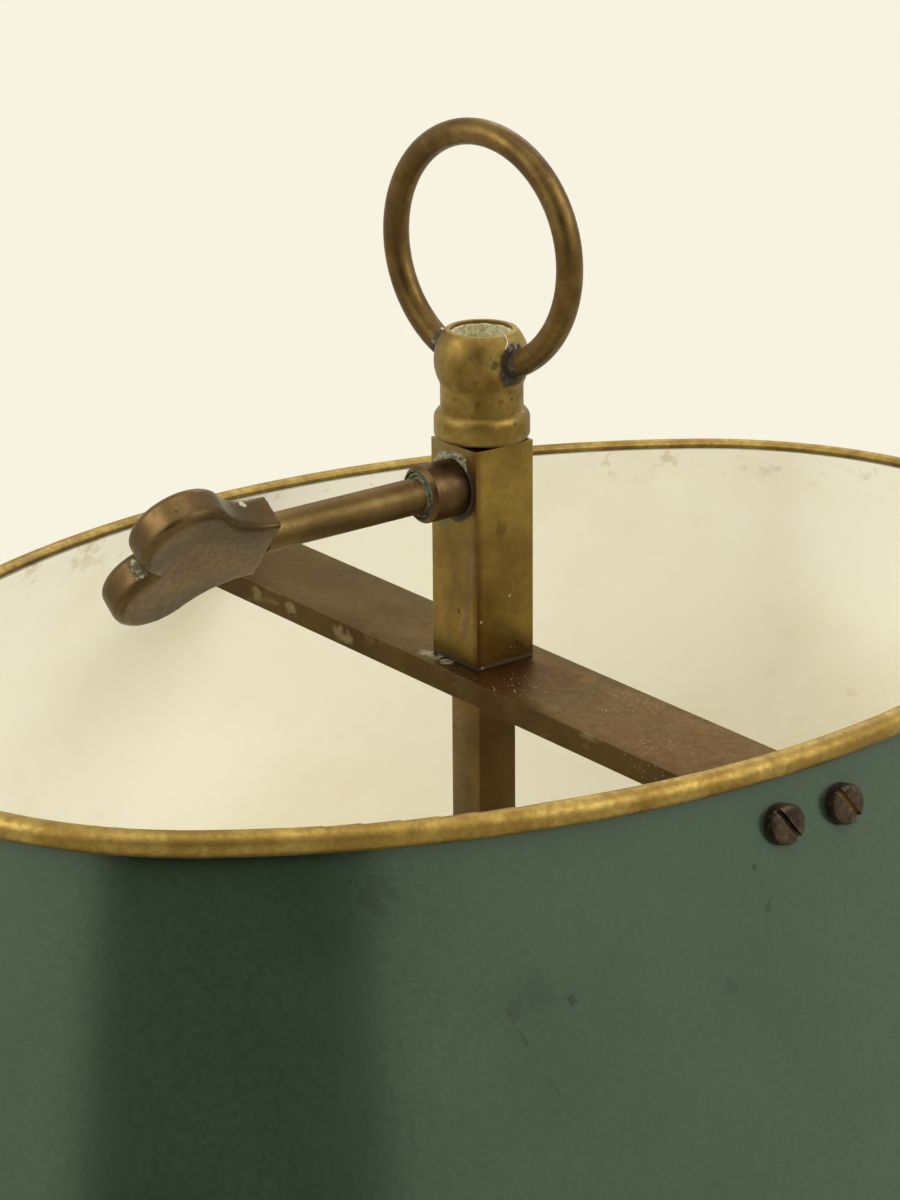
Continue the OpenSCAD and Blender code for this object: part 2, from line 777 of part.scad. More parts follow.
module lamp_holder(which) {
    plate_z = candle_z + sleeve_seat;
    plate_h = 2.5;
    color("#2b2320") on_arm(which) {
        difference() {
            union() {
                translate([0, 0, plate_z]) cylinder(r = holder_r, h = plate_h);
                for (s = [-1, 1]) translate([s * (holder_r - 2.5) - 1.2, -3, plate_z])
                    cube([2.4, 6, holder_cup_z - plate_z + 1]);
                translate([0, 0, holder_cup_z]) cylinder(r = holder_r, h = holder_cup_h);
            }
            translate([0, 0, bulb_z]) cylinder(d = bulb_cap_d + 0.7, h = holder_cup_h);
            translate([0, 0, plate_z - eps])
                cylinder(r = arm_d / 2 + seat_clear, h = plate_h + 2 * eps);
        }
    }
}

module bulb_cap(which) {
    thread_r = 0.7;
    core_r = bulb_cap_d / 2 - thread_r;
    contact = [2.4, 1.2];
    pitch = 2.8;
    color("silver") on_arm(which) translate([0, 0, bulb_z]) rotate_extrude() {
        square([contact[0], 2]);
        polygon([[0, 1], contact, [core_r, 4], [core_r, glass_z - bulb_z], [0, glass_z - bulb_z]]);
        for (i = [0:3]) translate([core_r, 6 + i * pitch]) circle(r = thread_r, $fn = 24);
    }
}

// Radius of the bulb's outline at a share of its length: a belly low down and a flame's tip.
function flame_r(share) =
    let (belly = 0.34, mouth = bulb_cap_d / 2 - 0.7)
    share < belly
        ? mouth + (glass_d / 2 - mouth) * sin(90 * share / belly)
        : glass_d / 2 * pow(cos(90 * (share - belly) / (1 - belly)), 0.8);

module flame_section(inset) {
    steps = 22;
    tip_r = 0.5;
    polygon([
        [0, 0],
        for (i = [0:steps - 1])
            [max(tip_r, flame_r(i / steps) - inset), i / steps * (glass_h - inset)],
        [0, glass_h - inset]
    ]);
}

module bulb_glass(which) {
    color("white", 0.6) on_arm(which) translate([0, 0, glass_z]) rotate_extrude($fn = 64)
        difference() {
            flame_section(0);
            flame_section(glass_t);
        }
}

module bulb_filaments() {
    stem_h = 0.3 * glass_h;
    color("lightgray") for (which = ["front", "rear"]) on_arm(which) translate([0, 0, glass_z]) {
        cylinder(r1 = 4, r2 = 1.5, h = stem_h);
        for (s = [-1, 1]) rotate([0, s * 12, 0]) translate([0, 0, 1])
            cylinder(r = 0.4, h = stem_h + 11);
        translate([0, 0, (stem_h + 12) * cos(12) - 0.3])
            rod_x(-(stem_h + 12) * sin(12), (stem_h + 12) * sin(12), 0.6);
    }
}

// ---- Post and finial ----

module post() {
    color("#6f5a2a") difference() {
        translate([-post_w / 2, -post_w / 2, post_z]) cube([post_w, post_w, post_top_z - post_z]);
        translate([0, 0, post_top_z - stud_half])
            cylinder(r = stud_d / 2 + seat_clear, h = stud_half + eps);
        translate([0, 0, post_z - eps]) cylinder(r = post_screw_d / 2 + seat_clear, h = 10 + eps);
    }
}

module post_screw() {
    head_z = hub_top_z - cap_spigot_h;
    head = [7, 3];
    color("dimgray") {
        translate([0, 0, head_z - head[1]]) cylinder(d = head[0], h = head[1]);
        translate([0, 0, head_z - eps]) cylinder(d = post_screw_d, h = post_z + 9 - head_z + eps);
    }
}

module finial_stud() {
    color("goldenrod") translate([0, 0, post_top_z - stud_half])
        cylinder(r = stud_d / 2, h = 2 * stud_half);
}

module ring_wire(r) {
    // Half the angle that the ring is open at its foot, so that its ends stop short of the hole.
    gap = asin((finial_hole_r + ring_socket_wall) / (ring_r - ring_wire_d / 2));
    rotate([0, 0, ring_turn]) translate([0, 0, ring_z]) rotate([90, 0, 0])
        rotate([0, 0, gap - 90]) rotate_extrude(angle = 360 - 2 * gap, $fn = 120)
            translate([ring_r, 0]) circle(r = r, $fn = 32);
}

module finial() {
    shoulder_z = collar_foot_r + collar_h;
    // The hollow between the neck and the ball is an arc that touches both.
    cove = [finial_neck_r + ball_cove_r,
            ball_up - sqrt(pow(ball_r + ball_cove_r, 2) - pow(finial_neck_r + ball_cove_r, 2))];
    touch = [0, ball_up] + ball_r / (ball_r + ball_cove_r) * (cove - [0, ball_up]);
    color("#8a702c") difference() {
        translate([0, 0, post_top_z]) rotate_extrude() difference() {
            union() {
                square([collar_r - collar_foot_r, shoulder_z]);
                translate([0, collar_foot_r]) square([collar_r, collar_h]);
                translate([collar_r - collar_foot_r, collar_foot_r])
                    circle(r = collar_foot_r, $fn = 32);
                translate([collar_r - shoulder_r, shoulder_z]) circle(r = shoulder_r, $fn = 48);
                square([finial_neck_r, ball_up]);
                difference() {
                    polygon([[0, cove[1]], [finial_neck_r, cove[1]], touch, [0, touch[1]]]);
                    translate(cove) circle(r = ball_cove_r, $fn = 48);
                }
                intersection() {
                    translate([0, ball_up]) circle(r = ball_r);
                    square([ball_r, finial_h]);
                }
            }
            translate([0, finial_h - finial_hole_h]) square([finial_hole_r, finial_hole_h + eps]);
            translate([0, -eps]) square([stud_d / 2 + seat_clear, stud_half + seat_clear + eps]);
        }
        ring_wire(ring_wire_d / 2 + seat_clear);
    }
}

module carry_ring() {
    color("#8a702c") ring_wire(ring_wire_d / 2);
}

// ---- Shade ----

module shade_shell() {
    color("#4f6350") difference() {
        round_the_shade() polygon([
            [shade_flare - shade_t, 0], [shade_flare, 0], [0, shade_h], [-shade_t, shade_h]
        ]);
        at_crossbar_screws() rod_x(-4, 4, screw_d / 2 + seat_clear);
    }
}

module top_rim() {
    color("#b8953f") round_the_shade() bead_section(shade_h - bead_in);
}

module bottom_rim() {
    color("#b8953f") round_the_shade() bead_section(bead_in);
}

// ---- Slide ----

module crossbar() {
    hole_w = post_w + 2 * slide_clear;
    color("#6a5030") difference() {
        intersection() {
            translate([-2 * side_r, -bar_w / 2, bar_z]) cube([4 * side_r, bar_w, bar_t]);
            side_cone(-1, -shade_t);
            side_cone(1, -shade_t);
        }
        translate([-hole_w / 2, -hole_w / 2, bar_z - eps]) cube([hole_w, hole_w, bar_t + 2 * eps]);
        at_crossbar_screws() rod_x(-screw_l - 1, 4, screw_d / 2 + seat_clear);
    }
}

module post_sleeve() {
    inner_w = sleeve_w - 2 * sleeve_wall;
    color("#7a6427") difference() {
        translate([-sleeve_w / 2, -sleeve_w / 2, bar_top_z]) cube([sleeve_w, sleeve_w, sleeve_h]);
        translate([-inner_w / 2, -inner_w / 2, bar_top_z - eps])
            cube([inner_w, inner_w, sleeve_h + 2 * eps]);
        translate([0, 0, key_z]) rod_y(-sleeve_w, 0, key_rod_d / 2 + turn_clear);
    }
}

module screw_boss() {
    face = -sleeve_w / 2;
    chamfer = 0.8;
    recess = [boss_d / 2 - 0.9, 1.2]; // radius and depth of the hollow round the rod
    color("#5f4a2a") translate([0, face, key_z]) rotate([90, 0, 0]) difference() {
        rotate_extrude() polygon([
            [0, 0], [boss_d / 2, 0], [boss_d / 2, boss_l - chamfer], [boss_d / 2 - chamfer, boss_l],
            [0, boss_l]
        ]);
        translate([0, 0, -eps]) cylinder(r = key_rod_d / 2 + turn_clear, h = boss_l + 2 * eps);
        translate([0, 0, boss_l - recess[1]]) cylinder(r = recess[0], h = recess[1] + eps);
    }
}

module crossbar_screws() {
    edge = 0.8; // rounding of a head's rim
    slot = [1, 1.1]; // width and depth of its slot
    color("#4a3424") {
        at_crossbar_screws() rod_x(-screw_l, 0.5, screw_d / 2);
        // Each head's underside is cut to lie flat on the shade's sloping wall.
        difference() {
            at_crossbar_screws() difference() {
                rotate([0, 90, 0]) rotate_extrude($fn = 48) {
                    translate([0, -2]) square([screw_head_d / 2, screw_head_h - edge + 2]);
                    square([screw_head_d / 2 - edge, screw_head_h]);
                    translate([screw_head_d / 2 - edge, screw_head_h - edge])
                        circle(r = edge, $fn = 24);
                }
                rotate([35, 0, 0])
                    translate([screw_head_h - slot[1], -slot[0] / 2, -screw_head_d])
                        cube([2 * slot[1], slot[0], 2 * screw_head_d]);
            }
            intersection() {
                side_cone(-1, 0);
                side_cone(1, 0);
            }
        }
    }
}

// ---- Thumb screw ----

module thumb_rod() {
    color("#6d5132") translate([0, 0, key_z]) {
        rod_y(-heart_start, -post_w / 2 - tip_gap, key_rod_d / 2);
        rod_y(-heart_start - key_tenon_l, -heart_start + 1, key_tenon_d / 2);
    }
}

// A lobe of the heart: a disc with a bevel round both faces.
module bevelled_disc(r) {
    half = heart_t / 2;
    b = heart_bevel;
    rotate_extrude() polygon([[0, -half], [r - b, -half], [r, b - half], [r, half - b],
                              [r - b, half], [0, half]]);
}

// The heart lies in the XY plane with its flat end at y = 0. Two lobes meet in a notch, and the
// tail's hollow sides are arcs that touch the lobes and stand square to the flat end. The edge
// of the bevel beside each hollow is an arc too: it leaves the lobe's bevel on the line where
// the hollow leaves the lobe, and meets the hollow at the flat end's corner.
module heart() {
    side = lobe_side - heart_half;
    flare_r = (lobe_out * lobe_out + side * side - lobe_r * lobe_r) / (2 * (lobe_r + side));
    flare_x = heart_half + flare_r;
    lobe = [lobe_side, lobe_out];
    toward = [flare_x - lobe_side, -lobe_out] / (flare_r + lobe_r);
    touch = lobe + lobe_r * toward;
    reach = lobe + (lobe_r - heart_bevel) * toward - [heart_half, 0];
    fade_r = -(reach * reach) / (2 * (reach * toward));
    fade = lobe + (lobe_r - heart_bevel + fade_r) * toward;
    notch = lobe_out + sqrt(lobe_r * lobe_r - lobe_side * lobe_side);
    difference() {
        union() {
            translate([0, 0, -heart_t / 2]) linear_extrude(heart_t) polygon([
                [-touch[0], 0], [touch[0], 0], touch, lobe, [0, notch - heart_bevel],
                [-lobe_side, lobe_out], [-touch[0], touch[1]]
            ]);
            for (s = [-1, 1]) translate([s * lobe_side, lobe_out, 0]) bevelled_disc(lobe_r);
        }
        for (s = [-1, 1]) {
            translate([s * flare_x, 0, 0]) cylinder(r = flare_r, h = 2 * heart_t, center = true);
            for (face = [0, 180]) translate([s * fade[0], fade[1], 0]) rotate([face, 0, 0])
                translate([0, 0, heart_t / 2 - heart_bevel])
                    cylinder(r1 = fade_r - heart_bevel, r2 = fade_r + eps, h = heart_bevel + eps);
        }
    }
}

module heart_key() {
    color("#6d5132") translate([0, -heart_start, key_z]) rotate([0, -heart_turn, 0])
        difference() {
            rotate([0, 0, 180]) heart();
            rod_y(-key_tenon_l - 0.2, 1, key_tenon_d / 2 + seat_clear);
        }
}

// ---- The lamp ----

felt_pad();
base_foot();
base_weight();
base_dish();
cord_bush();
terminal_block();
tie_rod();
lower_nut();
pedestal();
switch_body();
switch_ring();
column();
hub_body();
upper_nut();
hub_cap();
inner_leads();
arm_front();
arm_rear();
drip_pan("front");  // drip_pan_front
drip_pan("rear");  // drip_pan_rear
candle_cup("front");  // candle_cup_front
candle_cup("rear");  // candle_cup_rear
candle_sleeve("front");  // candle_sleeve_front
candle_sleeve("rear");  // candle_sleeve_rear
lamp_holder("front");  // lamp_holder_front
lamp_holder("rear");  // lamp_holder_rear
bulb_cap("front");  // bulb_cap_front
bulb_cap("rear");  // bulb_cap_rear
bulb_glass("front");  // bulb_glass_front
bulb_glass("rear");  // bulb_glass_rear
bulb_filaments();
post();
post_screw();
finial_stud();
finial();
carry_ring();
shade_shell();
top_rim();
bottom_rim();
crossbar();
post_sleeve();
screw_boss();
crossbar_screws();
thumb_rod();
heart_key();
switch_knob();
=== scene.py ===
import json
import math

import bpy
from mathutils import Matrix, Vector


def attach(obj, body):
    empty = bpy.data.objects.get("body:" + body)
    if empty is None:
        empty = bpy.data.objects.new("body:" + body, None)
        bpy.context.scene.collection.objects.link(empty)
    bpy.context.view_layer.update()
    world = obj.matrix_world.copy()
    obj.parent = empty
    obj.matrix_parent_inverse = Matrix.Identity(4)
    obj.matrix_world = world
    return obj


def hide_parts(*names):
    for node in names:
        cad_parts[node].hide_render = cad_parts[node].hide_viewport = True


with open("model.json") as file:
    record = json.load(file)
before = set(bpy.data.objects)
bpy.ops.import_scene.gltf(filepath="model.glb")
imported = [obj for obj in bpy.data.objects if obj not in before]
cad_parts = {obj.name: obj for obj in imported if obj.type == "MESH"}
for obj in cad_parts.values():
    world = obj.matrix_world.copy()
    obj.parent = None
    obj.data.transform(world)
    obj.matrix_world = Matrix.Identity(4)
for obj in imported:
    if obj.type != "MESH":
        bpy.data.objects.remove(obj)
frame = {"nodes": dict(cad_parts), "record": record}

nodes = frame["nodes"]
bodies = frame["record"]["behaviour"]["bodies"]
bodyOf = {name: body for body, names in bodies.items() for name in names}
slotOf = {name: part.material_slots[0].material.name.split(".")[0] for name, part in nodes.items()}
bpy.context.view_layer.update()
mm = 0.001
print("frame loaded:", len(nodes), "nodes")

# The camera stands where the sleeve, the crossbar and the two rims in the photograph put it.
cameraLook = {
    "place": (0.46882, -0.36870, 0.68131),
    "right": (0.61279, 0.79020, -0.00834),
    "up": (-0.26418, 0.21479, 0.94025),
    "back": (0.74478, -0.57398, 0.34037),
    "lens": 106.91,
    "clip": (0.01, 50),
}


def addCamera():
    bpy.ops.object.camera_add(location=cameraLook["place"])
    camera = bpy.context.object
    turn = Matrix([cameraLook["right"], cameraLook["up"], cameraLook["back"]]).transposed()
    camera.matrix_world = Matrix.Translation(cameraLook["place"]) @ turn.to_4x4()
    camera.data.lens = cameraLook["lens"]
    camera.data.clip_start, camera.data.clip_end = cameraLook["clip"]
    bpy.context.scene.camera = camera


bpy.context.scene.view_settings.view_transform = "Standard"
addCamera()
print("camera placed")


# Mesh tools.

def chooseOnly(piece):
    bpy.ops.object.select_all(action="DESELECT")
    piece.select_set(True)
    bpy.context.view_layer.objects.active = piece


def placeInMesh(piece):
    chooseOnly(piece)
    bpy.ops.object.transform_apply(location=True, rotation=True, scale=True)


def finishWith(piece, kind, **settings):
    chooseOnly(piece)
    modifier = piece.modifiers.new(kind.lower(), kind)
    for key, value in settings.items():
        setattr(modifier, key, value)
    bpy.ops.object.modifier_apply(modifier=modifier.name)


def makeUneven(piece, grain, height):
    cloud = bpy.data.textures.new(piece.name + "Cloud", "CLOUDS")
    cloud.noise_scale = grain * mm
    cloud.noise_depth = 3
    finishWith(piece, "DISPLACE", texture=cloud, texture_coords="LOCAL",
               strength=height * mm, mid_level=0.5)


def smoothBy(piece, degrees):
    chooseOnly(piece)
    bpy.ops.object.shade_smooth_by_angle(angle=math.radians(degrees))


def editAll():
    bpy.ops.object.mode_set(mode="EDIT")
    bpy.ops.mesh.select_all(action="SELECT")


def leaveEdit():
    bpy.ops.object.mode_set(mode="OBJECT")


def handOver(piece, body, finish, replaced=None):
    piece.data.materials.clear()
    piece.data.materials.append(finish)
    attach(piece, body)
    if replaced:
        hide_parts(replaced)


# Node tools: each returns the socket that carries its result. Places and widths are in mm.

def srgb(red, green, blue):
    return tuple(((part / 255 + 0.055) / 1.055) ** 2.4 for part in (red, green, blue)) + (1.0,)


def inMetres(place):
    return [part * mm for part in place]


def feed(tree, value, socket):
    if isinstance(value, bpy.types.NodeSocket):
        tree.links.new(value, socket)
    else:
        socket.default_value = value


def newFinish(name):
    finish = bpy.data.materials.new(name)
    finish.use_nodes = True
    tree = finish.node_tree
    coordinates = tree.nodes.new("ShaderNodeTexCoord")
    return finish, tree, tree.nodes["Principled BSDF"], coordinates.outputs["Object"]


def faceNormal(tree):
    return tree.nodes["Texture Coordinate"].outputs["Normal"]


def calc(tree, operation, first, second=0.0, clamp=False):
    node = tree.nodes.new("ShaderNodeMath")
    node.operation = operation
    node.use_clamp = clamp
    feed(tree, first, node.inputs[0])
    feed(tree, second, node.inputs[1])
    return node.outputs[0]


def times(tree, *factors):
    result = factors[0]
    for factor in factors[1:]:
        result = calc(tree, "MULTIPLY", result, factor)
    return result


def either(tree, *masks):
    result = masks[0]
    for mask in masks[1:]:
        result = calc(tree, "MAXIMUM", result, mask)
    return result


def between(tree, value, low, high, start=0.0, end=1.0):
    node = tree.nodes.new("ShaderNodeMapRange")
    node.interpolation_type = "SMOOTHSTEP"
    feed(tree, value, node.inputs["Value"])
    node.inputs["From Min"].default_value = low
    node.inputs["From Max"].default_value = high
    node.inputs["To Min"].default_value = start
    node.inputs["To Max"].default_value = end
    return node.outputs["Result"]


def within(tree, value, outside, inside):
    return between(tree, value, outside * mm, inside * mm)


def blend(tree, mask, under, over, share=1.0):
    node = tree.nodes.new("ShaderNodeMix")
    node.data_type = "RGBA"
    feed(tree, mask if share == 1.0 else times(tree, mask, share), node.inputs[0])
    feed(tree, under, node.inputs[6])
    feed(tree, over, node.inputs[7])
    return node.outputs[2]


def moved(tree, place, centre=(0, 0, 0), turn=(0, 0, 0), size=(1, 1, 1)):
    node = tree.nodes.new("ShaderNodeMapping")
    node.vector_type = "TEXTURE"
    feed(tree, place, node.inputs["Vector"])
    node.inputs["Location"].default_value = inMetres(centre)
    node.inputs["Rotation"].default_value = [math.radians(angle) for angle in turn]
    node.inputs["Scale"].default_value = size
    return node.outputs["Vector"]


def cloudy(tree, place, scale, detail=4.0, rough=0.55):
    node = tree.nodes.new("ShaderNodeTexNoise")
    feed(tree, place, node.inputs["Vector"])
    node.inputs["Scale"].default_value = scale
    node.inputs["Detail"].default_value = detail
    node.inputs["Roughness"].default_value = rough
    return node.outputs[0]


def clumps(tree, place, scale, none, full, detail=4.0, rough=0.55):
    return between(tree, cloudy(tree, place, scale, detail, rough), none, full)


def flecks(tree, place, scale, size):
    node = tree.nodes.new("ShaderNodeTexVoronoi")
    feed(tree, place, node.inputs["Vector"])
    node.inputs["Scale"].default_value = scale
    return between(tree, node.outputs["Distance"], size, size * 0.5)


def scratches(tree, place, turn, length, count, width):
    along = moved(tree, place, turn=turn, size=(length, 1, 1))
    lines = calc(tree, "SUBTRACT", cloudy(tree, along, count, 2.0, 0.5), 0.5)
    return between(tree, calc(tree, "ABSOLUTE", lines), width, width * 0.3)


def crossScratches(tree, place, sets):
    return either(tree, *[scratches(tree, place, *oneSet) for oneSet in sets])


def vectorPair(tree, operation, first, second):
    node = tree.nodes.new("ShaderNodeVectorMath")
    node.operation = operation
    feed(tree, first, node.inputs[0])
    feed(tree, second, node.inputs[1])
    return node.outputs["Value"]


def distance(tree, place, centre):
    return vectorPair(tree, "DISTANCE", place, centre)


def alongAxis(tree, vector, direction):
    return vectorPair(tree, "DOT_PRODUCT", vector, direction)


def fromLine(tree, place, start, end):
    line = (Vector(end) - Vector(start)) * mm
    away = moved(tree, place, centre=start)
    share = calc(tree, "MULTIPLY", alongAxis(tree, away, line), 1 / line.length_squared, True)
    foot = tree.nodes.new("ShaderNodeVectorMath")
    foot.operation = "SCALE"
    foot.inputs[0].default_value = line
    feed(tree, share, foot.inputs["Scale"])
    return distance(tree, away, foot.outputs[0])


def frayed(tree, place, value, scale, reach, detail=4, rough=0.7):
    shift = calc(tree, "SUBTRACT", cloudy(tree, place, scale, detail, rough), 0.5)
    return calc(tree, "ADD", value, times(tree, shift, reach * mm))


def patch(tree, place, centre, radius, ragged=0.5, scale=900):
    reach = distance(tree, place, inMetres(centre))
    edge = frayed(tree, place, reach, scale, ragged * radius * 4, 4.0, 0.55)
    return within(tree, edge, radius, radius * 0.55)


def spots(tree, place, places, radius, ragged=0.5, scale=1500):
    return either(tree, *[patch(tree, place, centre, radius, ragged, scale) for centre in places])


def axes(tree, place):
    node = tree.nodes.new("ShaderNodeSeparateXYZ")
    feed(tree, place, node.inputs[0])
    return node.outputs


def relief(tree, height, depth, under=None):
    node = tree.nodes.new("ShaderNodeBump")
    node.inputs["Strength"].default_value = 1.0
    node.inputs["Distance"].default_value = depth * mm
    feed(tree, height, node.inputs["Height"])
    if under:
        feed(tree, under, node.inputs["Normal"])
    return node.outputs["Normal"]


def rubbedEdge(tree, width):
    softened = tree.nodes.new("ShaderNodeBevel")
    softened.samples = 4
    softened.inputs["Radius"].default_value = width * mm
    geometry = tree.nodes.new("ShaderNodeNewGeometry")
    agreement = alongAxis(tree, softened.outputs[0], geometry.outputs["Normal"])
    return between(tree, agreement, 0.99, 0.86)


# Brass under a patina: warm metal, a brown film in clouds, mottling, scratches and rubbed edges.
brassLook = {
    "metal": srgb(134, 113, 58),
    "film": srgb(92, 73, 34),
    "grime": srgb(38, 30, 20),
    "edge": srgb(168, 142, 88),
    "chalk": srgb(206, 196, 166),
    "clouds": 60,
    "mottle": 700,
    "filmShare": (0.36, 0.64),
    "mottleShare": 0.35,
    "pitShare": 0.8,
    "gloss": (0.30, 0.44),
    "scratch": 0.35,
    "scratchSets": [((20, 35, 10), 30, 2600, 0.012), ((70, -25, 65), 24, 2200, 0.010)],
    "edgeWidth": 0.35,
    "edgeShare": 0.4,
    "specks": 0.0,
    "bumps": 0.010,
    "scratchDepth": 0.01,
    "crustDepth": 0.04,
    "metallic": (0.92, 0.1),  # bare, crusted
    "crustRough": 0.35,
    "shift": (0, 0, 0),
    "grazing": (1.0, 1.0, 1.0, 1.0),
}


def agedBrass(name, changes=None, residues=()):
    look = dict(brassLook, **(changes or {}))
    finish, tree, shader, real = newFinish(name)
    place = moved(tree, real, centre=look["shift"])
    film = clumps(tree, place, look["clouds"], *look["filmShare"], 6, 0.6)
    mottle = cloudy(tree, place, look["mottle"], 6, 0.65)
    colour = blend(tree, film, look["metal"], look["film"])
    colour = blend(tree, between(tree, mottle, 0.42, 0.68), colour, look["film"],
                   look["mottleShare"])
    pits = times(tree, flecks(tree, place, 420, 0.16), clumps(tree, place, 160, 0.55, 0.62, 3))
    colour = blend(tree, pits, colour, look["grime"], look["pitShare"])
    lines = times(tree, crossScratches(tree, place, look["scratchSets"]),
                  clumps(tree, place, 140, 0.48, 0.66, 3))
    colour = blend(tree, lines, colour, look["edge"], look["scratch"])
    edge = times(tree, rubbedEdge(tree, look["edgeWidth"]),
                 clumps(tree, place, look["mottle"] * 5, 0.35, 0.6, 3, 0.6))
    colour = blend(tree, edge, colour, look["edge"], look["edgeShare"])
    dull = pits
    if look["specks"]:
        chalk = times(tree, flecks(tree, place, 900, 0.2), clumps(tree, place, 70, 0.57, 0.66),
                      look["specks"])
        colour = blend(tree, chalk, colour, look["chalk"])
        dull = either(tree, dull, chalk)
    for residue in residues:
        mask, crust, share = residue(tree, real)
        colour = blend(tree, mask, colour, crust)
        dull = either(tree, dull, times(tree, mask, share))
    feed(tree, colour, shader.inputs["Base Color"])
    feed(tree, between(tree, dull, 0, 1, *look["metallic"]), shader.inputs["Metallic"])
    shader.inputs["Specular Tint"].default_value = look["grazing"]
    rough = between(tree, mottle, 0.3, 0.7, *look["gloss"])
    rough = calc(tree, "ADD", rough, times(tree, dull, look["crustRough"]), True)
    feed(tree, rough, shader.inputs["Roughness"])
    bumps = relief(tree, mottle, look["bumps"])
    smooth = calc(tree, "SUBTRACT", 1.0, times(tree, lines, 0.6))
    bumps = relief(tree, smooth, look["scratchDepth"], bumps)
    bumps = relief(tree, calc(tree, "SUBTRACT", 1.0, dull), look["crustDepth"], bumps)
    feed(tree, bumps, shader.inputs["Normal"])
    return finish


# Residues, and some painted highlight and shade: each returns its mask, its colour and how far it
# dulls the metal. Their forms in the dictionaries are place or places, radius, raggedness and the
# scale of the ragged edge.
chalkLook = {"grey": srgb(96, 98, 76), "pale": srgb(176, 172, 142), "pits": srgb(46, 48, 36)}


def chalky(tree, place):
    fine = clumps(tree, place, 1600, 0.4, 0.6, 5, 0.7)
    pale = blend(tree, fine, chalkLook["grey"], chalkLook["pale"])
    return blend(tree, flecks(tree, place, 1300, 0.25), pale, chalkLook["pits"], 0.8)


# The carrying ring and the finial, with the dark joints between them and a painted highlight.
ringLook = {
    "centreHeight": 529.3,
    "radius": 20.6,
    "turn": 8.1,
    "endReach": (11.0, 9.6),
    "jointReach": (3.9, 3.3),
    "endTints": (srgb(50, 44, 38), srgb(122, 118, 106)),
    "glint": ((-9.4, -1.3, 513.7), 0.5, 0.6, 1400),
    "brass": {"metal": srgb(112, 90, 47), "film": srgb(80, 60, 31), "shift": (30, 10, 20),
              "clouds": 90, "gloss": (0.36, 0.5)},
}
finialLook = {
    "ballHeight": 509.9,
    "jointTints": (srgb(44, 36, 30), srgb(104, 98, 84)),
    "blots": ([(7.6, -3.2, 511.2), (7.3, -1.8, 510.2)], 1.3, 0.7, 700),
    "spots": ([(5.7, -5.8, 507.8), (5.3, -5.1, 503.7), (7.1, -1.5, 503.9), (1.7, -7.1, 504.4),
               (7.3, 0.5, 505.5)], 0.6, 0.9, 1300),
    "dust": ((7.2, 1.0, 513.9), 1.3, 0.8, 700),
    "brass": {"metal": srgb(148, 125, 66), "film": srgb(112, 90, 42), "shift": (10, 40, 20),
              "clouds": 120, "gloss": (0.42, 0.56)},
}


def fromWire(tree, place):
    turned = moved(tree, place, (0, 0, ringLook["centreHeight"]), (0, 0, ringLook["turn"]))
    across, through, up = axes(tree, turned)
    spoke = calc(tree, "ADD", times(tree, across, across), times(tree, up, up))
    off = calc(tree, "SUBTRACT", calc(tree, "SQRT", spoke), ringLook["radius"] * mm)
    gap = calc(tree, "ADD", times(tree, off, off), times(tree, through, through))
    return calc(tree, "SQRT", gap)


def ringEnds(tree, place):
    fromBall = distance(tree, place, (0, 0, finialLook["ballHeight"] * mm))
    near = within(tree, frayed(tree, place, fromBall, 500, 1.6), *ringLook["endReach"])
    tint = blend(tree, clumps(tree, place, 900, 0.54, 0.66, 4, 0.7), *ringLook["endTints"])
    return times(tree, near, 0.8), tint, 0.5


# Painted highlight: a pale glint on the ring near where it enters the finial.
def ringGlint(tree, place):
    glint = patch(tree, place, *ringLook["glint"])
    return times(tree, glint, 0.8), srgb(190, 186, 168), 0.6


def jointStain(tree, place):
    near = frayed(tree, place, fromWire(tree, place), 420, 2.4)
    tint = blend(tree, clumps(tree, place, 900, 0.56, 0.68, 4, 0.7), *finialLook["jointTints"])
    return times(tree, within(tree, near, *ringLook["jointReach"]), 0.92), tint, 0.7


def jointDust(tree, place):
    fluff = patch(tree, place, *finialLook["dust"])
    broken = clumps(tree, place, 1500, 0.42, 0.6, 5, 0.7)
    return times(tree, fluff, broken, 0.7), srgb(152, 146, 120), 1.0


def ballBlots(tree, place):
    blots = spots(tree, place, *finialLook["blots"])
    small = times(tree, spots(tree, place, *finialLook["spots"]), 0.6)
    smears = times(tree, clumps(tree, place, 300, 0.62, 0.70), 0.5)
    return times(tree, either(tree, blots, small, smears), 0.62), srgb(54, 38, 20), 0.3


# The thumb screw's boss, the solder's marks round it on the sleeve's face, and painted shadow.
bossLook = {
    "height": 487.9,
    "halo": (7.1, 6.3),
    "shadow": (6.5, 6.0),
    "mouth": (4.5, 4.2),
    "mouthFace": (-12.6, -13.0),
    "mouthTints": (srgb(34, 38, 24), srgb(136, 136, 104)),
    "rodMouth": (-15.0, -14.2),
    "brass": {"metal": srgb(90, 70, 43), "film": srgb(62, 47, 29), "clouds": 110,
              "mottleShare": 0.2, "scratch": 0.15},
}


def fromBoss(tree, place):
    flat = moved(tree, place, size=(1, 1000, 1))
    return distance(tree, flat, (0, 0, bossLook["height"] * mm))


def sleeveFront(tree, place):
    return within(tree, axes(tree, place)[1], *sleeveLook["frontFace"])


def bossHalo(tree, place):
    across, _, up = axes(tree, place)
    ring = frayed(tree, place, fromBoss(tree, place), 520, 4.0)
    high = calc(tree, "SUBTRACT", up, times(tree, across, 0.9))
    top = within(tree, frayed(tree, place, high, 500, 2), bossLook["height"] + 0.2,
                 bossLook["height"] + 2.0)
    broken = clumps(tree, place, 900, 0.36, 0.52, 5, 0.7)
    mask = times(tree, within(tree, ring, *bossLook["halo"]), sleeveFront(tree, place), top, broken)
    return mask, chalky(tree, place), 1.0


# The boss's lower right side, where painted shadow goes on the sleeve and on the solder.
def bossSide(tree, place):
    across, _, up = axes(tree, place)
    rise = times(tree, calc(tree, "SUBTRACT", up, bossLook["height"] * mm), 0.5)
    edge = frayed(tree, place, calc(tree, "SUBTRACT", across, rise), 500, 1.0)
    return within(tree, edge, 1.1, 2.4)
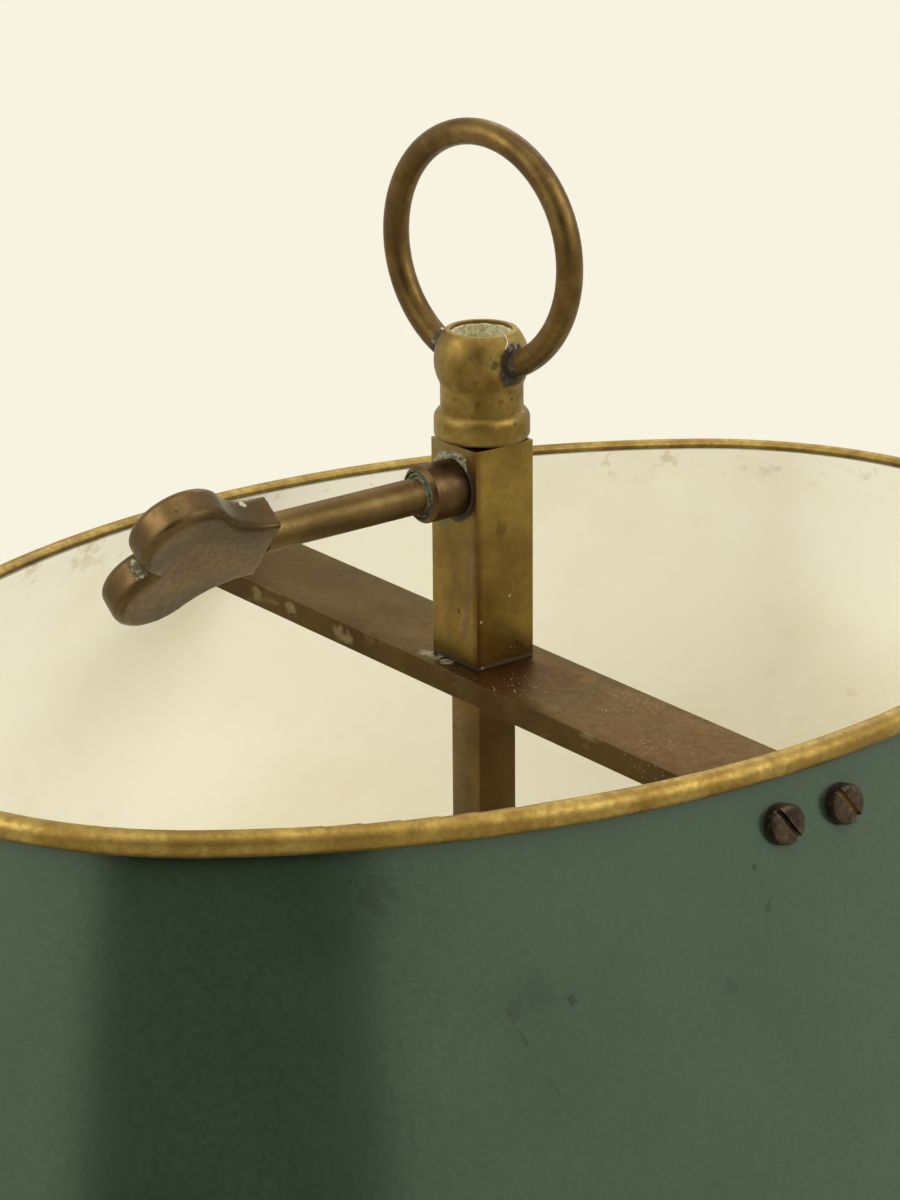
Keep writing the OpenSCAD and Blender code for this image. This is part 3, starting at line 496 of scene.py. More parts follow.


# Painted shadow: the sleeve's front face darkened beside the boss on that side.
def bossShadow(tree, place):
    ring = frayed(tree, place, fromBoss(tree, place), 300, 1.2)
    mask = times(tree, within(tree, ring, *bossLook["shadow"]), sleeveFront(tree, place),
                 bossSide(tree, place), 0.85)
    return mask, srgb(58, 42, 32), 0.4


def mouthCrust(tree, place):
    mouth = within(tree, fromBoss(tree, place), *bossLook["mouth"])
    face = within(tree, axes(tree, place)[1], *bossLook["mouthFace"])
    tint = blend(tree, clumps(tree, place, 1500, 0.5, 0.62, 5, 0.7), *bossLook["mouthTints"])
    return times(tree, mouth, face, 0.95), tint, 1.0


def rodCrust(tree, place):
    near = frayed(tree, place, axes(tree, place)[1], 900, 0.8)
    return times(tree, within(tree, near, *bossLook["rodMouth"]), 0.8), chalky(tree, place), 1.0


# The sleeve and the post.
sleeveLook = {
    "frontFace": (-6.1, -6.25),
    "sideFace": (6.2, 6.3),
    "corner": (6.35, -6.35, 0),
    "cornerWidth": (1.7, 0.3),
    "footRise": (456.2, 455.7),
    "footTints": (srgb(38, 44, 42), srgb(74, 62, 46)),
    "streak": [(4.4, -6.35, 478.0), (3.2, -6.35, 461.0)],
    "streakWidth": (1.3, 0.3),
    "dark": ([(1.2, -6.35, 465.0), (6.35, 3.5, 457.8), (6.35, 2.6, 458.4)], 0.45, 0.9, 1300),
    "pale": ([(6.35, 1.0, 467.8), (6.3, -5.4, 464.2), (-6.2, -6.35, 471.5),
              (6.35, -5.2, 455.5)], 0.28, 0.5, 1500),
    "notch": ((6.35, -0.7, 480.7), 1.7, 0.6, 600),
    "green": ((-3.0, -6.35, 481.2), 2.4, 0.5, 500),
    "brass": {"metal": srgb(136, 114, 52), "film": srgb(104, 82, 36), "shift": (20, 0, 50),
              "specks": 0.4, "edgeShare": 0.2},
}
postLook = {
    "sideFace": (3.8, 4.0),
    "brass": {"metal": srgb(110, 88, 42), "film": srgb(78, 60, 27), "shift": (60, 20, 10)},
}


def bossGreen(tree, place):
    tinge = patch(tree, place, *sleeveLook["green"])
    return times(tree, tinge, 0.6), srgb(84, 92, 58), 0.6


def sleeveCorner(tree, place):
    line = distance(tree, moved(tree, place, size=(1, 1, 1000)), inMetres(sleeveLook["corner"]))
    near = within(tree, frayed(tree, place, line, 260, 1.2), *sleeveLook["cornerWidth"])
    return times(tree, near, 0.75), srgb(86, 54, 24), 0.2


def sleeveStreak(tree, place):
    line = frayed(tree, place, fromLine(tree, place, *sleeveLook["streak"]), 420, 3.0)
    near = within(tree, line, *sleeveLook["streakWidth"])
    broken = clumps(tree, place, 330, 0.36, 0.56, 5, 0.7)
    return times(tree, near, broken, 0.75), srgb(108, 82, 62), 0.4


def sleeveDark(tree, place):
    dark = spots(tree, place, *sleeveLook["dark"])
    faint = times(tree, patch(tree, place, *sleeveLook["notch"]), 0.45)
    return times(tree, either(tree, dark, faint), 0.8), srgb(44, 30, 18), 0.3


def sleevePale(tree, place):
    pale = spots(tree, place, *sleeveLook["pale"])
    return times(tree, pale, 0.6), srgb(212, 204, 180), 1.0


def sleeveFoot(tree, place):
    across, _, up = axes(tree, place)
    low = within(tree, frayed(tree, place, up, 700, 0.7), *sleeveLook["footRise"])
    side = within(tree, across, *sleeveLook["sideFace"])
    return times(tree, low, 0.8), blend(tree, side, *sleeveLook["footTints"]), 0.7


# Painted shade: the post's +X face darkened below the crossbar.
def postPaintedShade(tree, place):
    side = within(tree, axes(tree, place)[0], *postLook["sideFace"])
    return times(tree, side, 0.7), srgb(62, 44, 20), 0.1


# The crossbar.
brownLook = {
    "metal": srgb(112, 88, 54),
    "film": srgb(82, 62, 37),
    "edge": srgb(150, 124, 84),
    "gloss": (0.34, 0.48),
    "scratch": 0.4,
    "grazing": (0.85, 0.78, 0.70, 1.0),
}
barLook = {
    "frontFace": (-9.6, -9.9),
    "topFace": (454.9, 455.05),
    "frontMarks": ([(-56.7, -10, 453.4), (-45.5, -10, 453.2), (-30.2, -10, 452.9),
                    (-27.5, -10, 452.3)], 1.7, 0.7, 500),
    "darkSide": ((14.5, -2, 455.1), 11, 0.35, 120),
    "farEnd": ((58, 0, 455.1), 34, 0.2, 60),
    "fluff": ([(-7.0, -7.4, 455.1), (-4.2, -7.4, 455.1), (-1.2, -7.5, 455.1)], 1.7, 0.7, 600),
    "dust": [
        ((17, -5, 455.1), 7, 0.6, 260),
        ((35, 5, 455.1), 8, 0.7, 260),
        ((52, -4, 455.1), 5, 0.8, 300),
    ],
    "brass": dict(brownLook, metal=srgb(84, 66, 38), film=srgb(68, 52, 29), clouds=45, specks=0.2,
                  scratch=0.12, mottleShare=0.15, grazing=(0.8, 0.73, 0.62, 1.0)),
}


def barTop(tree, place):
    return within(tree, axes(tree, place)[2], *barLook["topFace"])


def barStreaks(tree, place):
    front = within(tree, axes(tree, place)[1], *barLook["frontFace"])
    long = moved(tree, place, size=(2.4, 1, 1))
    soft = times(tree, clumps(tree, long, 150, 0.60, 0.70, 4, 0.6), 0.45)
    marks = times(tree, spots(tree, place, *barLook["frontMarks"]), 0.5)
    return times(tree, either(tree, soft, marks), front), srgb(142, 132, 92), 0.5


# Painted shade on the bar's top: beside the sleeve's right face and towards the far end.
def barPaintedShade(tree, place):
    near = patch(tree, place, *barLook["darkSide"])
    farEnd = times(tree, patch(tree, place, *barLook["farEnd"]), 0.45)
    mask = times(tree, either(tree, near, farEnd), barTop(tree, place), 0.75)
    return mask, srgb(74, 48, 26), 0.1


def barDust(tree, place):
    scuffed = either(tree, *[patch(tree, place, *form) for form in barLook["dust"]])
    grit = clumps(tree, place, 2300, 0.63, 0.69, 3, 0.6)
    return times(tree, grit, scuffed, barTop(tree, place)), srgb(190, 172, 128), 1.0


def barFluff(tree, place):
    line = spots(tree, place, *barLook["fluff"])
    broken = clumps(tree, place, 1200, 0.34, 0.56, 5, 0.7)
    return times(tree, line, barTop(tree, place), broken, 0.75), srgb(158, 152, 124), 1.0


# The heart-shaped key and the thumb screw's rod.
heartLook = {
    "turn": 52,
    "notch": ((0.5, -71.8, 488.3), 3.6, 0.5, 500),
    "notchTints": (srgb(62, 66, 46), srgb(172, 170, 134)),
    "chip": ((3.3, -53.3, 495.5), 0.9, 0.7, 1500),
    "worn": ((3, -61, 486), 9, 0.4, 160),
    "scratchSets": [((0, -52, 40), 26, 2600, 0.014), ((10, 25, -30), 22, 3000, 0.010)],
    "brass": dict(brownLook, metal=srgb(98, 78, 48), film=srgb(72, 56, 34), clouds=70, scratch=0.1,
                  edgeShare=0.1, mottleShare=0.15, bumps=0.004, grazing=(1.0, 1.0, 0.92, 1.0)),
}
rodLook = dict(brownLook, metal=srgb(106, 87, 50), film=srgb(86, 68, 39), clouds=70,
               mottleShare=0.2, gloss=(0.40, 0.52))


def heartNotch(tree, place):
    lean = math.radians(heartLook["turn"])
    across = alongAxis(tree, faceNormal(tree), (-math.sin(lean), 0, math.cos(lean)))
    side = between(tree, calc(tree, "ABSOLUTE", across), 0.55, 0.25)
    notch = patch(tree, place, *heartLook["notch"])
    broken = clumps(tree, place, 700, 0.4, 0.56, 5, 0.7)
    tint = blend(tree, clumps(tree, place, 1200, 0.45, 0.6), *heartLook["notchTints"])
    return times(tree, notch, side, broken), tint, 1.0


def heartChip(tree, place):
    chip = patch(tree, place, *heartLook["chip"])
    return times(tree, chip, 0.85), srgb(196, 184, 154), 1.0


def heartScratches(tree, place):
    fine = crossScratches(tree, place, heartLook["scratchSets"])
    worn = patch(tree, place, *heartLook["worn"])
    return times(tree, fine, worn, 0.6), srgb(172, 122, 66), 0.0


# The stem and base, and the fittings of the candle lights.
stemLook = {"metal": srgb(156, 130, 66), "film": srgb(110, 88, 42), "gloss": (0.24, 0.42),
            "clouds": 35}
fittingLook = {"metal": srgb(166, 140, 74), "film": srgb(122, 98, 48), "gloss": (0.22, 0.38)}

finishes = {
    "stem_brass": agedBrass("stemBrass", stemLook),
    "fitting_brass": agedBrass("fittingBrass", fittingLook),
}
ownFinish = {
    "carry_ring": agedBrass("ringBrass", ringLook["brass"], [ringEnds, ringGlint]),
    "finial": agedBrass("finialBrass", finialLook["brass"], [ballBlots, jointStain, jointDust]),
    "post_sleeve": agedBrass("sleeveBrass", sleeveLook["brass"],
                             [sleeveCorner, sleeveStreak, bossShadow, bossGreen, bossHalo,
                              sleeveFoot, sleeveDark, sleevePale]),
    "post": agedBrass("postBrass", postLook["brass"], [postPaintedShade]),
    "crossbar": agedBrass("barBrass", barLook["brass"], [barPaintedShade, barStreaks, barDust, barFluff]),
    "heart_key": agedBrass("heartBrass", heartLook["brass"],
                           [heartScratches, heartNotch, heartChip]),
    "thumb_rod": agedBrass("rodBrass", rodLook, [rodCrust]),
    "screw_boss": agedBrass("bossBrass", dict(brownLook, **bossLook["brass"]), [mouthCrust]),
}
print("brass finishes made")


# The shade: green paint outside, cream inside.
shadeLook = {
    "green": srgb(40, 56, 41),
    "lightGreen": srgb(47, 63, 47),
    "darkGreen": srgb(27, 37, 27),
    "scuff": srgb(12, 15, 11),
    "underBead": srgb(34, 34, 24),
    "cream": srgb(252, 248, 237),
    "yellowed": srgb(246, 239, 219),
    "stain": srgb(192, 164, 98),
    "gloss": (0.16, 0.23),
    "mirror": 0.87,
    "mirrorTint": (0.75, 1.0, 0.82, 1.0),
    "beadShadow": (458.2, 460.2),
    "stainRise": (452, 462.4),
    "screwHalo": ((86.0, 6.5, 452.6), 5.2, 0.25, 700),
    "scuffs": [
        # place, radius, raggedness, scale, share
        ((67.3, -73.9, 453.2), 4.0, 0.8, 700, 0.35),
        ((82.4, -55.0, 436.6), 3.0, 1.2, 900, 0.4),
        ((81.6, -58.4, 434.4), 1.8, 0.9, 900, 0.6),
        ((84.8, -49.5, 434.5), 1.1, 0.5, 900, 1.0),
        ((86.8, -13.6, 447.6), 0.6, 0.5, 900, 1.0),
        ((89.3, -12.5, 441.4), 1.1, 1.0, 700, 0.7),
        ((91.9, -22.9, 431.2), 1.4, 1.2, 900, 0.4),
    ],
    "scratches": [
        # start, end, width, share
        ((81.4, -59.6, 434.6), (84.2, -57.8, 428.8), 0.45, 0.7),
        ((84.2, -57.8, 428.8), (88.2, -54.7, 420.9), 0.30, 0.45),
        ((86.9, -13.4, 447.4), (89.0, -12.3, 442.4), 0.25, 0.5),
        ((82.8, -54.3, 435.8), (84.8, -50.0, 434.6), 0.35, 0.6),
    ],
}


def thinScratch(tree, place, start, end, width, share):
    near = frayed(tree, place, fromLine(tree, place, start, end), 700, 0.9)
    broken = clumps(tree, place, 420, 0.36, 0.52, 4, 0.6)
    return times(tree, within(tree, near, width, width * 0.4), broken, share)


def greenPaint(tree, place, mottle):
    green = blend(tree, clumps(tree, place, 26, 0.35, 0.65, 5, 0.6), shadeLook["green"],
                  shadeLook["lightGreen"])
    green = blend(tree, between(tree, mottle, 0.4, 0.65), green, shadeLook["darkGreen"], 0.35)
    marks = [times(tree, patch(tree, place, *form), share) for *form, share in shadeLook["scuffs"]]
    marks += [thinScratch(tree, place, *ends) for ends in shadeLook["scratches"]]
    rubs = times(tree, scratches(tree, place, (80, 10, 30), 18, 900, 0.012),
                 clumps(tree, place, 60, 0.54, 0.64, 3), 0.25)
    green = blend(tree, either(tree, *marks, rubs), green, shadeLook["scuff"])
    mirrored = tree.nodes.new("ShaderNodeVectorMath")  # the same halo round all four screws
    mirrored.operation = "ABSOLUTE"
    feed(tree, place, mirrored.inputs[0])
    halo = patch(tree, mirrored.outputs[0], *shadeLook["screwHalo"])
    green = blend(tree, halo, green, shadeLook["darkGreen"], 0.5)
    underBead = within(tree, axes(tree, place)[2], *shadeLook["beadShadow"])
    return blend(tree, underBead, green, shadeLook["underBead"], 0.75)


def creamPaint(tree, place):
    cream = blend(tree, clumps(tree, place, 18, 0.4, 0.7, 4, 0.6), shadeLook["cream"],
                  shadeLook["yellowed"])
    high = within(tree, axes(tree, place)[2], *shadeLook["stainRise"])
    stains = times(tree, clumps(tree, place, 130, 0.54, 0.66, 4, 0.7), high, 0.5)
    sparse = times(tree, flecks(tree, place, 55, 0.09), 0.15)
    return blend(tree, either(tree, stains, sparse), cream, shadeLook["stain"])


def shadePaint():
    finish, tree, shader, place = newFinish("shadePaint")
    outward = alongAxis(tree, faceNormal(tree), moved(tree, place, size=(1, 1, 1e6)))
    outside = between(tree, outward, -0.001, 0.001)
    mottle = cloudy(tree, place, 900, 6, 0.7)
    colour = blend(tree, outside, creamPaint(tree, place), greenPaint(tree, place, mottle))
    feed(tree, colour, shader.inputs["Base Color"])
    feed(tree, between(tree, mottle, 0.3, 0.7, *shadeLook["gloss"]), shader.inputs["Roughness"])
    shader.inputs["Specular IOR Level"].default_value = shadeLook["mirror"]
    shader.inputs["Specular Tint"].default_value = shadeLook["mirrorTint"]
    bumps = relief(tree, cloudy(tree, place, 260, 5, 0.6), 0.010)
    feed(tree, relief(tree, mottle, 0.005, bumps), shader.inputs["Normal"])
    return finish


beadLook = {
    "gilt": srgb(158, 134, 70),
    "worn": srgb(132, 106, 48),
    "mottle": srgb(108, 82, 34),
    "spot": srgb(84, 58, 30),
    "metallic": 0.85,
    "gloss": (0.42, 0.56),
    "dents": 0.12,
    "bumps": 0.02,
}


def giltBead():
    finish, tree, shader, place = newFinish("giltBead")
    mottle = cloudy(tree, place, 800, 6, 0.7)
    colour = blend(tree, clumps(tree, place, 110, 0.38, 0.62, 5, 0.6), beadLook["gilt"],
                   beadLook["worn"])
    colour = blend(tree, between(tree, mottle, 0.42, 0.62), colour, beadLook["mottle"], 0.35)
    dots = times(tree, flecks(tree, place, 260, 0.14), clumps(tree, place, 60, 0.52, 0.6, 3))
    colour = blend(tree, dots, colour, beadLook["spot"], 0.8)
    feed(tree, colour, shader.inputs["Base Color"])
    shader.inputs["Metallic"].default_value = beadLook["metallic"]
    feed(tree, between(tree, mottle, 0.3, 0.7, *beadLook["gloss"]), shader.inputs["Roughness"])
    bumps = relief(tree, cloudy(tree, place, 240, 4, 0.6), beadLook["dents"])
    feed(tree, relief(tree, mottle, beadLook["bumps"], bumps), shader.inputs["Normal"])
    return finish


def plainFinish(name, light, dark, scale, gloss, depth, metallic=0.0, specks=None):
    finish, tree, shader, place = newFinish(name)
    fine = cloudy(tree, place, scale * 9, 5, 0.65)
    colour = blend(tree, clumps(tree, place, scale, 0.38, 0.62, 5, 0.6), light, dark)
    colour = blend(tree, between(tree, fine, 0.4, 0.65), colour, dark, 0.4)
    if specks:
        colour = blend(tree, flecks(tree, place, scale * 8, 0.2), colour, specks)
    feed(tree, colour, shader.inputs["Base Color"])
    shader.inputs["Metallic"].default_value = metallic
    feed(tree, between(tree, fine, 0.3, 0.7, *gloss), shader.inputs["Roughness"])
    feed(tree, relief(tree, fine, depth), shader.inputs["Normal"])
    return finish


# The near head's slot is rubbed bare: depth along the screw's axis finds the slot's floor.
screwLook = {
    "light": srgb(60, 46, 33),
    "dark": srgb(40, 30, 22),
    "mottle": srgb(104, 88, 70),
    "edge": srgb(150, 128, 96),
    "slot": srgb(152, 124, 68),
    "axis": (0.984, 0.0402, 0.1736),
    "slotDepth": (165.18, 164.88),
    "bare": ((86.6, 6.4, 453.0), 3.4, 0.02, 900),
    "metallic": 0.7,
    "gloss": (0.38, 0.6),
}


def screwSteel():
    finish, tree, shader, place = newFinish("screwSteel")
    mottle = cloudy(tree, place, 900, 6, 0.7)
    colour = blend(tree, clumps(tree, place, 220, 0.4, 0.6), screwLook["light"],
                   screwLook["dark"])
    colour = blend(tree, between(tree, mottle, 0.45, 0.65), colour, screwLook["mottle"], 0.5)
    edge = times(tree, rubbedEdge(tree, 0.25), between(tree, mottle, 0.4, 0.6))
    colour = blend(tree, edge, colour, screwLook["edge"], 0.6)
    depth = alongAxis(tree, place, screwLook["axis"])
    bare = times(tree, within(tree, depth, *screwLook["slotDepth"]),
                 patch(tree, place, *screwLook["bare"]))
    colour = blend(tree, bare, colour, screwLook["slot"], 0.9)
    feed(tree, colour, shader.inputs["Base Color"])
    shader.inputs["Metallic"].default_value = screwLook["metallic"]
    feed(tree, between(tree, mottle, 0.3, 0.7, *screwLook["gloss"]), shader.inputs["Roughness"])
    feed(tree, relief(tree, mottle, 0.03), shader.inputs["Normal"])
    return finish


glassLook = {"clear": srgb(250, 250, 248), "hazy": srgb(240, 242, 240), "gloss": (0.02, 0.08),
             "bending": 1.45, "ripple": 0.02}
feltLook = {"light": srgb(58, 74, 48), "dark": srgb(48, 62, 40), "fibre": srgb(84, 98, 70),
            "rough": 0.95, "sheen": 0.4, "nap": 0.15}


def bulbGlass():
    finish, tree, shader, place = newFinish("bulbGlass")
    haze = cloudy(tree, place, 120, 3, 0.5)
    colour = blend(tree, haze, glassLook["clear"], glassLook["hazy"])
    feed(tree, colour, shader.inputs["Base Color"])
    feed(tree, between(tree, haze, 0.3, 0.7, *glassLook["gloss"]), shader.inputs["Roughness"])
    shader.inputs["Transmission Weight"].default_value = 1.0
    shader.inputs["IOR"].default_value = glassLook["bending"]
    feed(tree, relief(tree, haze, glassLook["ripple"]), shader.inputs["Normal"])
    return finish


def feltCloth():
    finish, tree, shader, place = newFinish("feltCloth")
    fibres = cloudy(tree, place, 2600, 4, 0.8)
    colour = blend(tree, clumps(tree, place, 60, 0.35, 0.65, 4, 0.6), feltLook["light"],
                   feltLook["dark"])
    colour = blend(tree, fibres, colour, feltLook["fibre"], 0.5)
    feed(tree, colour, shader.inputs["Base Color"])
    shader.inputs["Roughness"].default_value = feltLook["rough"]
    shader.inputs["Sheen Weight"].default_value = feltLook["sheen"]
    feed(tree, relief(tree, fibres, feltLook["nap"]), shader.inputs["Normal"])
    return finish


# Plain finishes: light and dark colour, scale, gloss, depth, metal, specks.
plainLooks = {
    "hidden_steel": ("hiddenSteel", srgb(150, 144, 132), srgb(110, 104, 92), 300, (0.3, 0.5),
                     0.02, 0.9),
    "weight_iron": ("weightIron", srgb(70, 68, 66), srgb(50, 48, 46), 160, (0.55, 0.8), 0.15,
                    0.5, srgb(96, 60, 40)),
    "candle_card": ("candleCard", srgb(236, 226, 200), srgb(220, 206, 172), 90, (0.5, 0.62), 0.02),
    "dark_moulding": ("darkMoulding", srgb(44, 36, 30), srgb(30, 24, 20), 120, (0.3, 0.42), 0.02),
    "bulb_metal": ("bulbMetal", srgb(190, 184, 170), srgb(160, 152, 136), 260, (0.22, 0.4),
                   0.02, 0.95),
    "lead_cover": ("leadCover", srgb(96, 52, 36), srgb(74, 38, 26), 200, (0.4, 0.55), 0.02),
}
finishes.update({slot: plainFinish(*look) for slot, look in plainLooks.items()})
finishes.update({
    "shade_paint": shadePaint(),
    "gilt_bead": giltBead(),
    "screw_steel": screwSteel(),
    "felt": feltCloth(),
    "bulb_glass": bulbGlass(),
    "aged_brass": ownFinish["post"],
    "brown_brass": ownFinish["crossbar"],
})


def finishOf(nodeName):
    return ownFinish.get(nodeName, finishes[slotOf[nodeName]])


for name, part in nodes.items():
    part.material_slots[0].material = finishOf(name)
print("finishes on all nodes")


# Copies of CAD nodes whose hard corners are worn round.
wornCorners = {
    # node: piece, width of the wear
    "crossbar": ("wornCrossbar", 0.28),
    "post_sleeve": ("wornSleeve", 0.22),
    "post": ("wornPost", 0.25),
    "screw_boss": ("wornBoss", 0.4),
    "crossbar_screws": ("wornScrews", 0.12),
}
wearLook = {"mergeGap": 0.002, "flatAngle": 0.4, "cornerAngle": 32, "segments": 3,
            "smoothAngle": 28}
heartWear = {"voxel": 0.35, "factor": 0.5, "rounds": 14, "smoothAngle": 60}


def mergedCopy(nodeName, pieceName, flatAngle=None):
    piece = bpy.data.objects.new(pieceName, nodes[nodeName].data.copy())
    bpy.context.scene.collection.objects.link(piece)
    chooseOnly(piece)
    bpy.ops.mesh.customdata_custom_splitnormals_clear()
    editAll()
    bpy.ops.mesh.remove_doubles(threshold=wearLook["mergeGap"] * mm)
    if flatAngle:
        bpy.ops.mesh.dissolve_limited(angle_limit=math.radians(flatAngle))
    leaveEdit()
    return piece


def standIn(piece, nodeName):
    handOver(piece, bodyOf[nodeName], finishOf(nodeName), nodeName)


def wearCorners(nodeName, pieceName, width):
    piece = mergedCopy(nodeName, pieceName, wearLook["flatAngle"])
    finishWith(piece, "BEVEL", width=width * mm, segments=wearLook["segments"],
               limit_method="ANGLE", angle_limit=math.radians(wearLook["cornerAngle"]))
    smoothBy(piece, wearLook["smoothAngle"])
    standIn(piece, nodeName)


def wornHeart():
    piece = mergedCopy("heart_key", "wornHeart")
    finishWith(piece, "REMESH", mode="VOXEL", voxel_size=heartWear["voxel"] * mm)
    finishWith(piece, "SMOOTH", factor=heartWear["factor"], iterations=heartWear["rounds"])
    smoothBy(piece, heartWear["smoothAngle"])
    standIn(piece, "heart_key")


for nodeName, (pieceName, width) in wornCorners.items():
    wearCorners(nodeName, pieceName, width)
wornHeart()
print("worn corners made")


# Solder and verdigris at the boss, and the deposit in the finial.
crustLook = {"shadow": srgb(50, 37, 31), "gloss": (0.6, 0.9), "bumps": 0.12, "steps": (72, 12),
             "smoothAngle": 60}


def crustFinish(name, light, dark, black, shadow=None):
    finish, tree, shader, place = newFinish(name)
    fine = cloudy(tree, place, 2200, 5, 0.75)
    colour = blend(tree, clumps(tree, place, 500, 0.42, 0.6, 5, 0.7), light, dark)
    colour = blend(tree, between(tree, fine, 0.5, 0.62), colour, black)
    if shadow:
        colour = blend(tree, shadow(tree, place), colour, crustLook["shadow"])
    feed(tree, colour, shader.inputs["Base Color"])
    feed(tree, between(tree, fine, 0.3, 0.7, *crustLook["gloss"]), shader.inputs["Roughness"])
    feed(tree, relief(tree, fine, crustLook["bumps"]), shader.inputs["Normal"])
    return finish


# The solder's ring gets painted shadow on the boss's lower right side.
greyCrust = crustFinish("greyCrust", srgb(158, 155, 130), srgb(88, 88, 70), srgb(48, 48, 38),
                        bossSide)
greenCrust = crustFinish("greenCrust", srgb(112, 120, 96), srgb(52, 56, 42), srgb(26, 28, 20))
chalkCrust = crustFinish("chalkCrust", srgb(216, 208, 168), srgb(190, 182, 140),
                         srgb(146, 138, 102))
crustRings = [
    # name, radius, thickness, y of its centre, flatness, grain, unevenness, finish
    ("solderAtBoss", 5.25, 0.34, -6.35, 0.6, 1.2, 0.4, greyCrust),
    ("verdigrisAtBossMouth", 3.72, 0.5, -13.6, 0.9, 0.8, 0.35, greenCrust),
]


def crustRing(name, radius, thick, front, flatness, grain, unevenness, finish):
    around, section = crustLook["steps"]
    bpy.ops.mesh.primitive_torus_add(
        major_segments=around, minor_segments=section, major_radius=radius * mm,
        minor_radius=thick * mm, location=inMetres((0, front, bossLook["height"])),
        rotation=(math.radians(90), 0, 0))
    piece = bpy.context.object
    piece.name = name
    piece.scale = (1, 1, flatness)
    placeInMesh(piece)
    makeUneven(piece, grain, unevenness)
    smoothBy(piece, crustLook["smoothAngle"])
    handOver(piece, "shade", finish)


for ring in crustRings:
    crustRing(*ring)

depositLook = {
    "radius": 5.38,
    "height": 7.2,
    "centreHeight": 511.2,
    "wall": 0.5,
    "hollow": 6.6,
    "floorInset": 1.6,
    "floorShift": (0.4, -0.2, -0.5),
    "steps": 72,
    "cuts": 4,
    "grain": 1.6,
    "unevenness": 0.45,
}


def finialDeposit():
    bpy.ops.mesh.primitive_cylinder_add(
        vertices=depositLook["steps"], radius=depositLook["radius"] * mm,
        depth=depositLook["height"] * mm,
        location=(0, 0, depositLook["centreHeight"] * mm))
    piece = bpy.context.object
    piece.name = "finialDeposit"
    placeInMesh(piece)
    editAll()
    bpy.ops.mesh.select_all(action="DESELECT")
    leaveEdit()
    for face in piece.data.polygons:
        face.select = face.normal.z > 0.9
    bpy.ops.object.mode_set(mode="EDIT")
    bpy.ops.mesh.inset(thickness=depositLook["wall"] * mm)
    bpy.ops.mesh.extrude_region_move(
        TRANSFORM_OT_translate={"value": (0, 0, -depositLook["hollow"] * mm)})
    bpy.ops.mesh.inset(thickness=depositLook["floorInset"] * mm)
    bpy.ops.transform.translate(value=inMetres(depositLook["floorShift"]))
    bpy.ops.mesh.select_all(action="SELECT")
    bpy.ops.mesh.subdivide(number_cuts=depositLook["cuts"])
    leaveEdit()
    makeUneven(piece, depositLook["grain"], depositLook["unevenness"])
    smoothBy(piece, crustLook["smoothAngle"])
    handOver(piece, "stand", chalkCrust)


finialDeposit()

# A dust fibre that lies over the ring's near joint.
fibre = plainFinish("fibre", srgb(226, 222, 208), srgb(196, 190, 172), 900, (0.6, 0.8), 0.01)
hairLook = {
    "thick": 0.07,
    "smoothAngle": 60,
    "knots": [
        # place, handle before, handle after
        ((6.2, 0.1, 515.6), (5.8, 0.0, 516.0), (7.4, 0.5, 515.9)),
        ((9.0, -1.9, 513.9), (8.2, -0.6, 514.6), (9.6, -2.6, 513.4)),
    ],
}


def dustHair():
    bpy.ops.curve.primitive_bezier_curve_add()
    piece = bpy.context.object
    piece.name = "dustHair"
    bends = piece.data.splines[0].bezier_points
    for bend, (spot, before, after) in zip(bends, hairLook["knots"]):
        bend.co = inMetres(spot)
        bend.handle_left = inMetres(before)
        bend.handle_right = inMetres(after)
    piece.data.bevel_depth = hairLook["thick"] * mm
    piece.data.bevel_resolution = 2
    chooseOnly(piece)
    bpy.ops.object.convert(target="MESH")
    smoothBy(piece, hairLook["smoothAngle"])
    handOver(piece, "stand", fibre)


dustHair()
print("crusts made")


# Floor, lamps and the pale room, with a dark card that the green paint mirrors.
roomLook = {
    "backdrop": srgb(248, 243, 224),
    "paperGrain": srgb(244, 239, 219),
    "floorSize": 14,
    "floorFade": (0.3, 0.8),
    "ambient": 0.66,
    "tint": (1.0, 0.985, 0.955),
    "aim": (0, 0, 0.42),
    "lamps": [
        # azimuth from the front, height, distance, size, watts
        (-18, 35, 1.3, 0.9, 8.0),
        (118, 38, 1.3, 0.9, 8.0),
        (52, 85, 1.4, 1.0, 5.0),
        (215, 40, 1.4, 0.9, 4.0),
    ],
    "card": (41.2, 25, 1.6),  # azimuth, height, distance
    "cardSize": (1.62, 1.5, 1),
    "cardShades": [(0.015, 0.015, 0.015, 1), (0.0225, 0.021, 0.018, 1)],
    "cardFade": (0.0, 0.26),
}


def shownShare(tree):
    rays = tree.nodes.new("ShaderNodeLightPath").outputs
    return either(tree, rays["Is Camera Ray"], rays["Is Glossy Ray"], rays["Is Transmission Ray"])


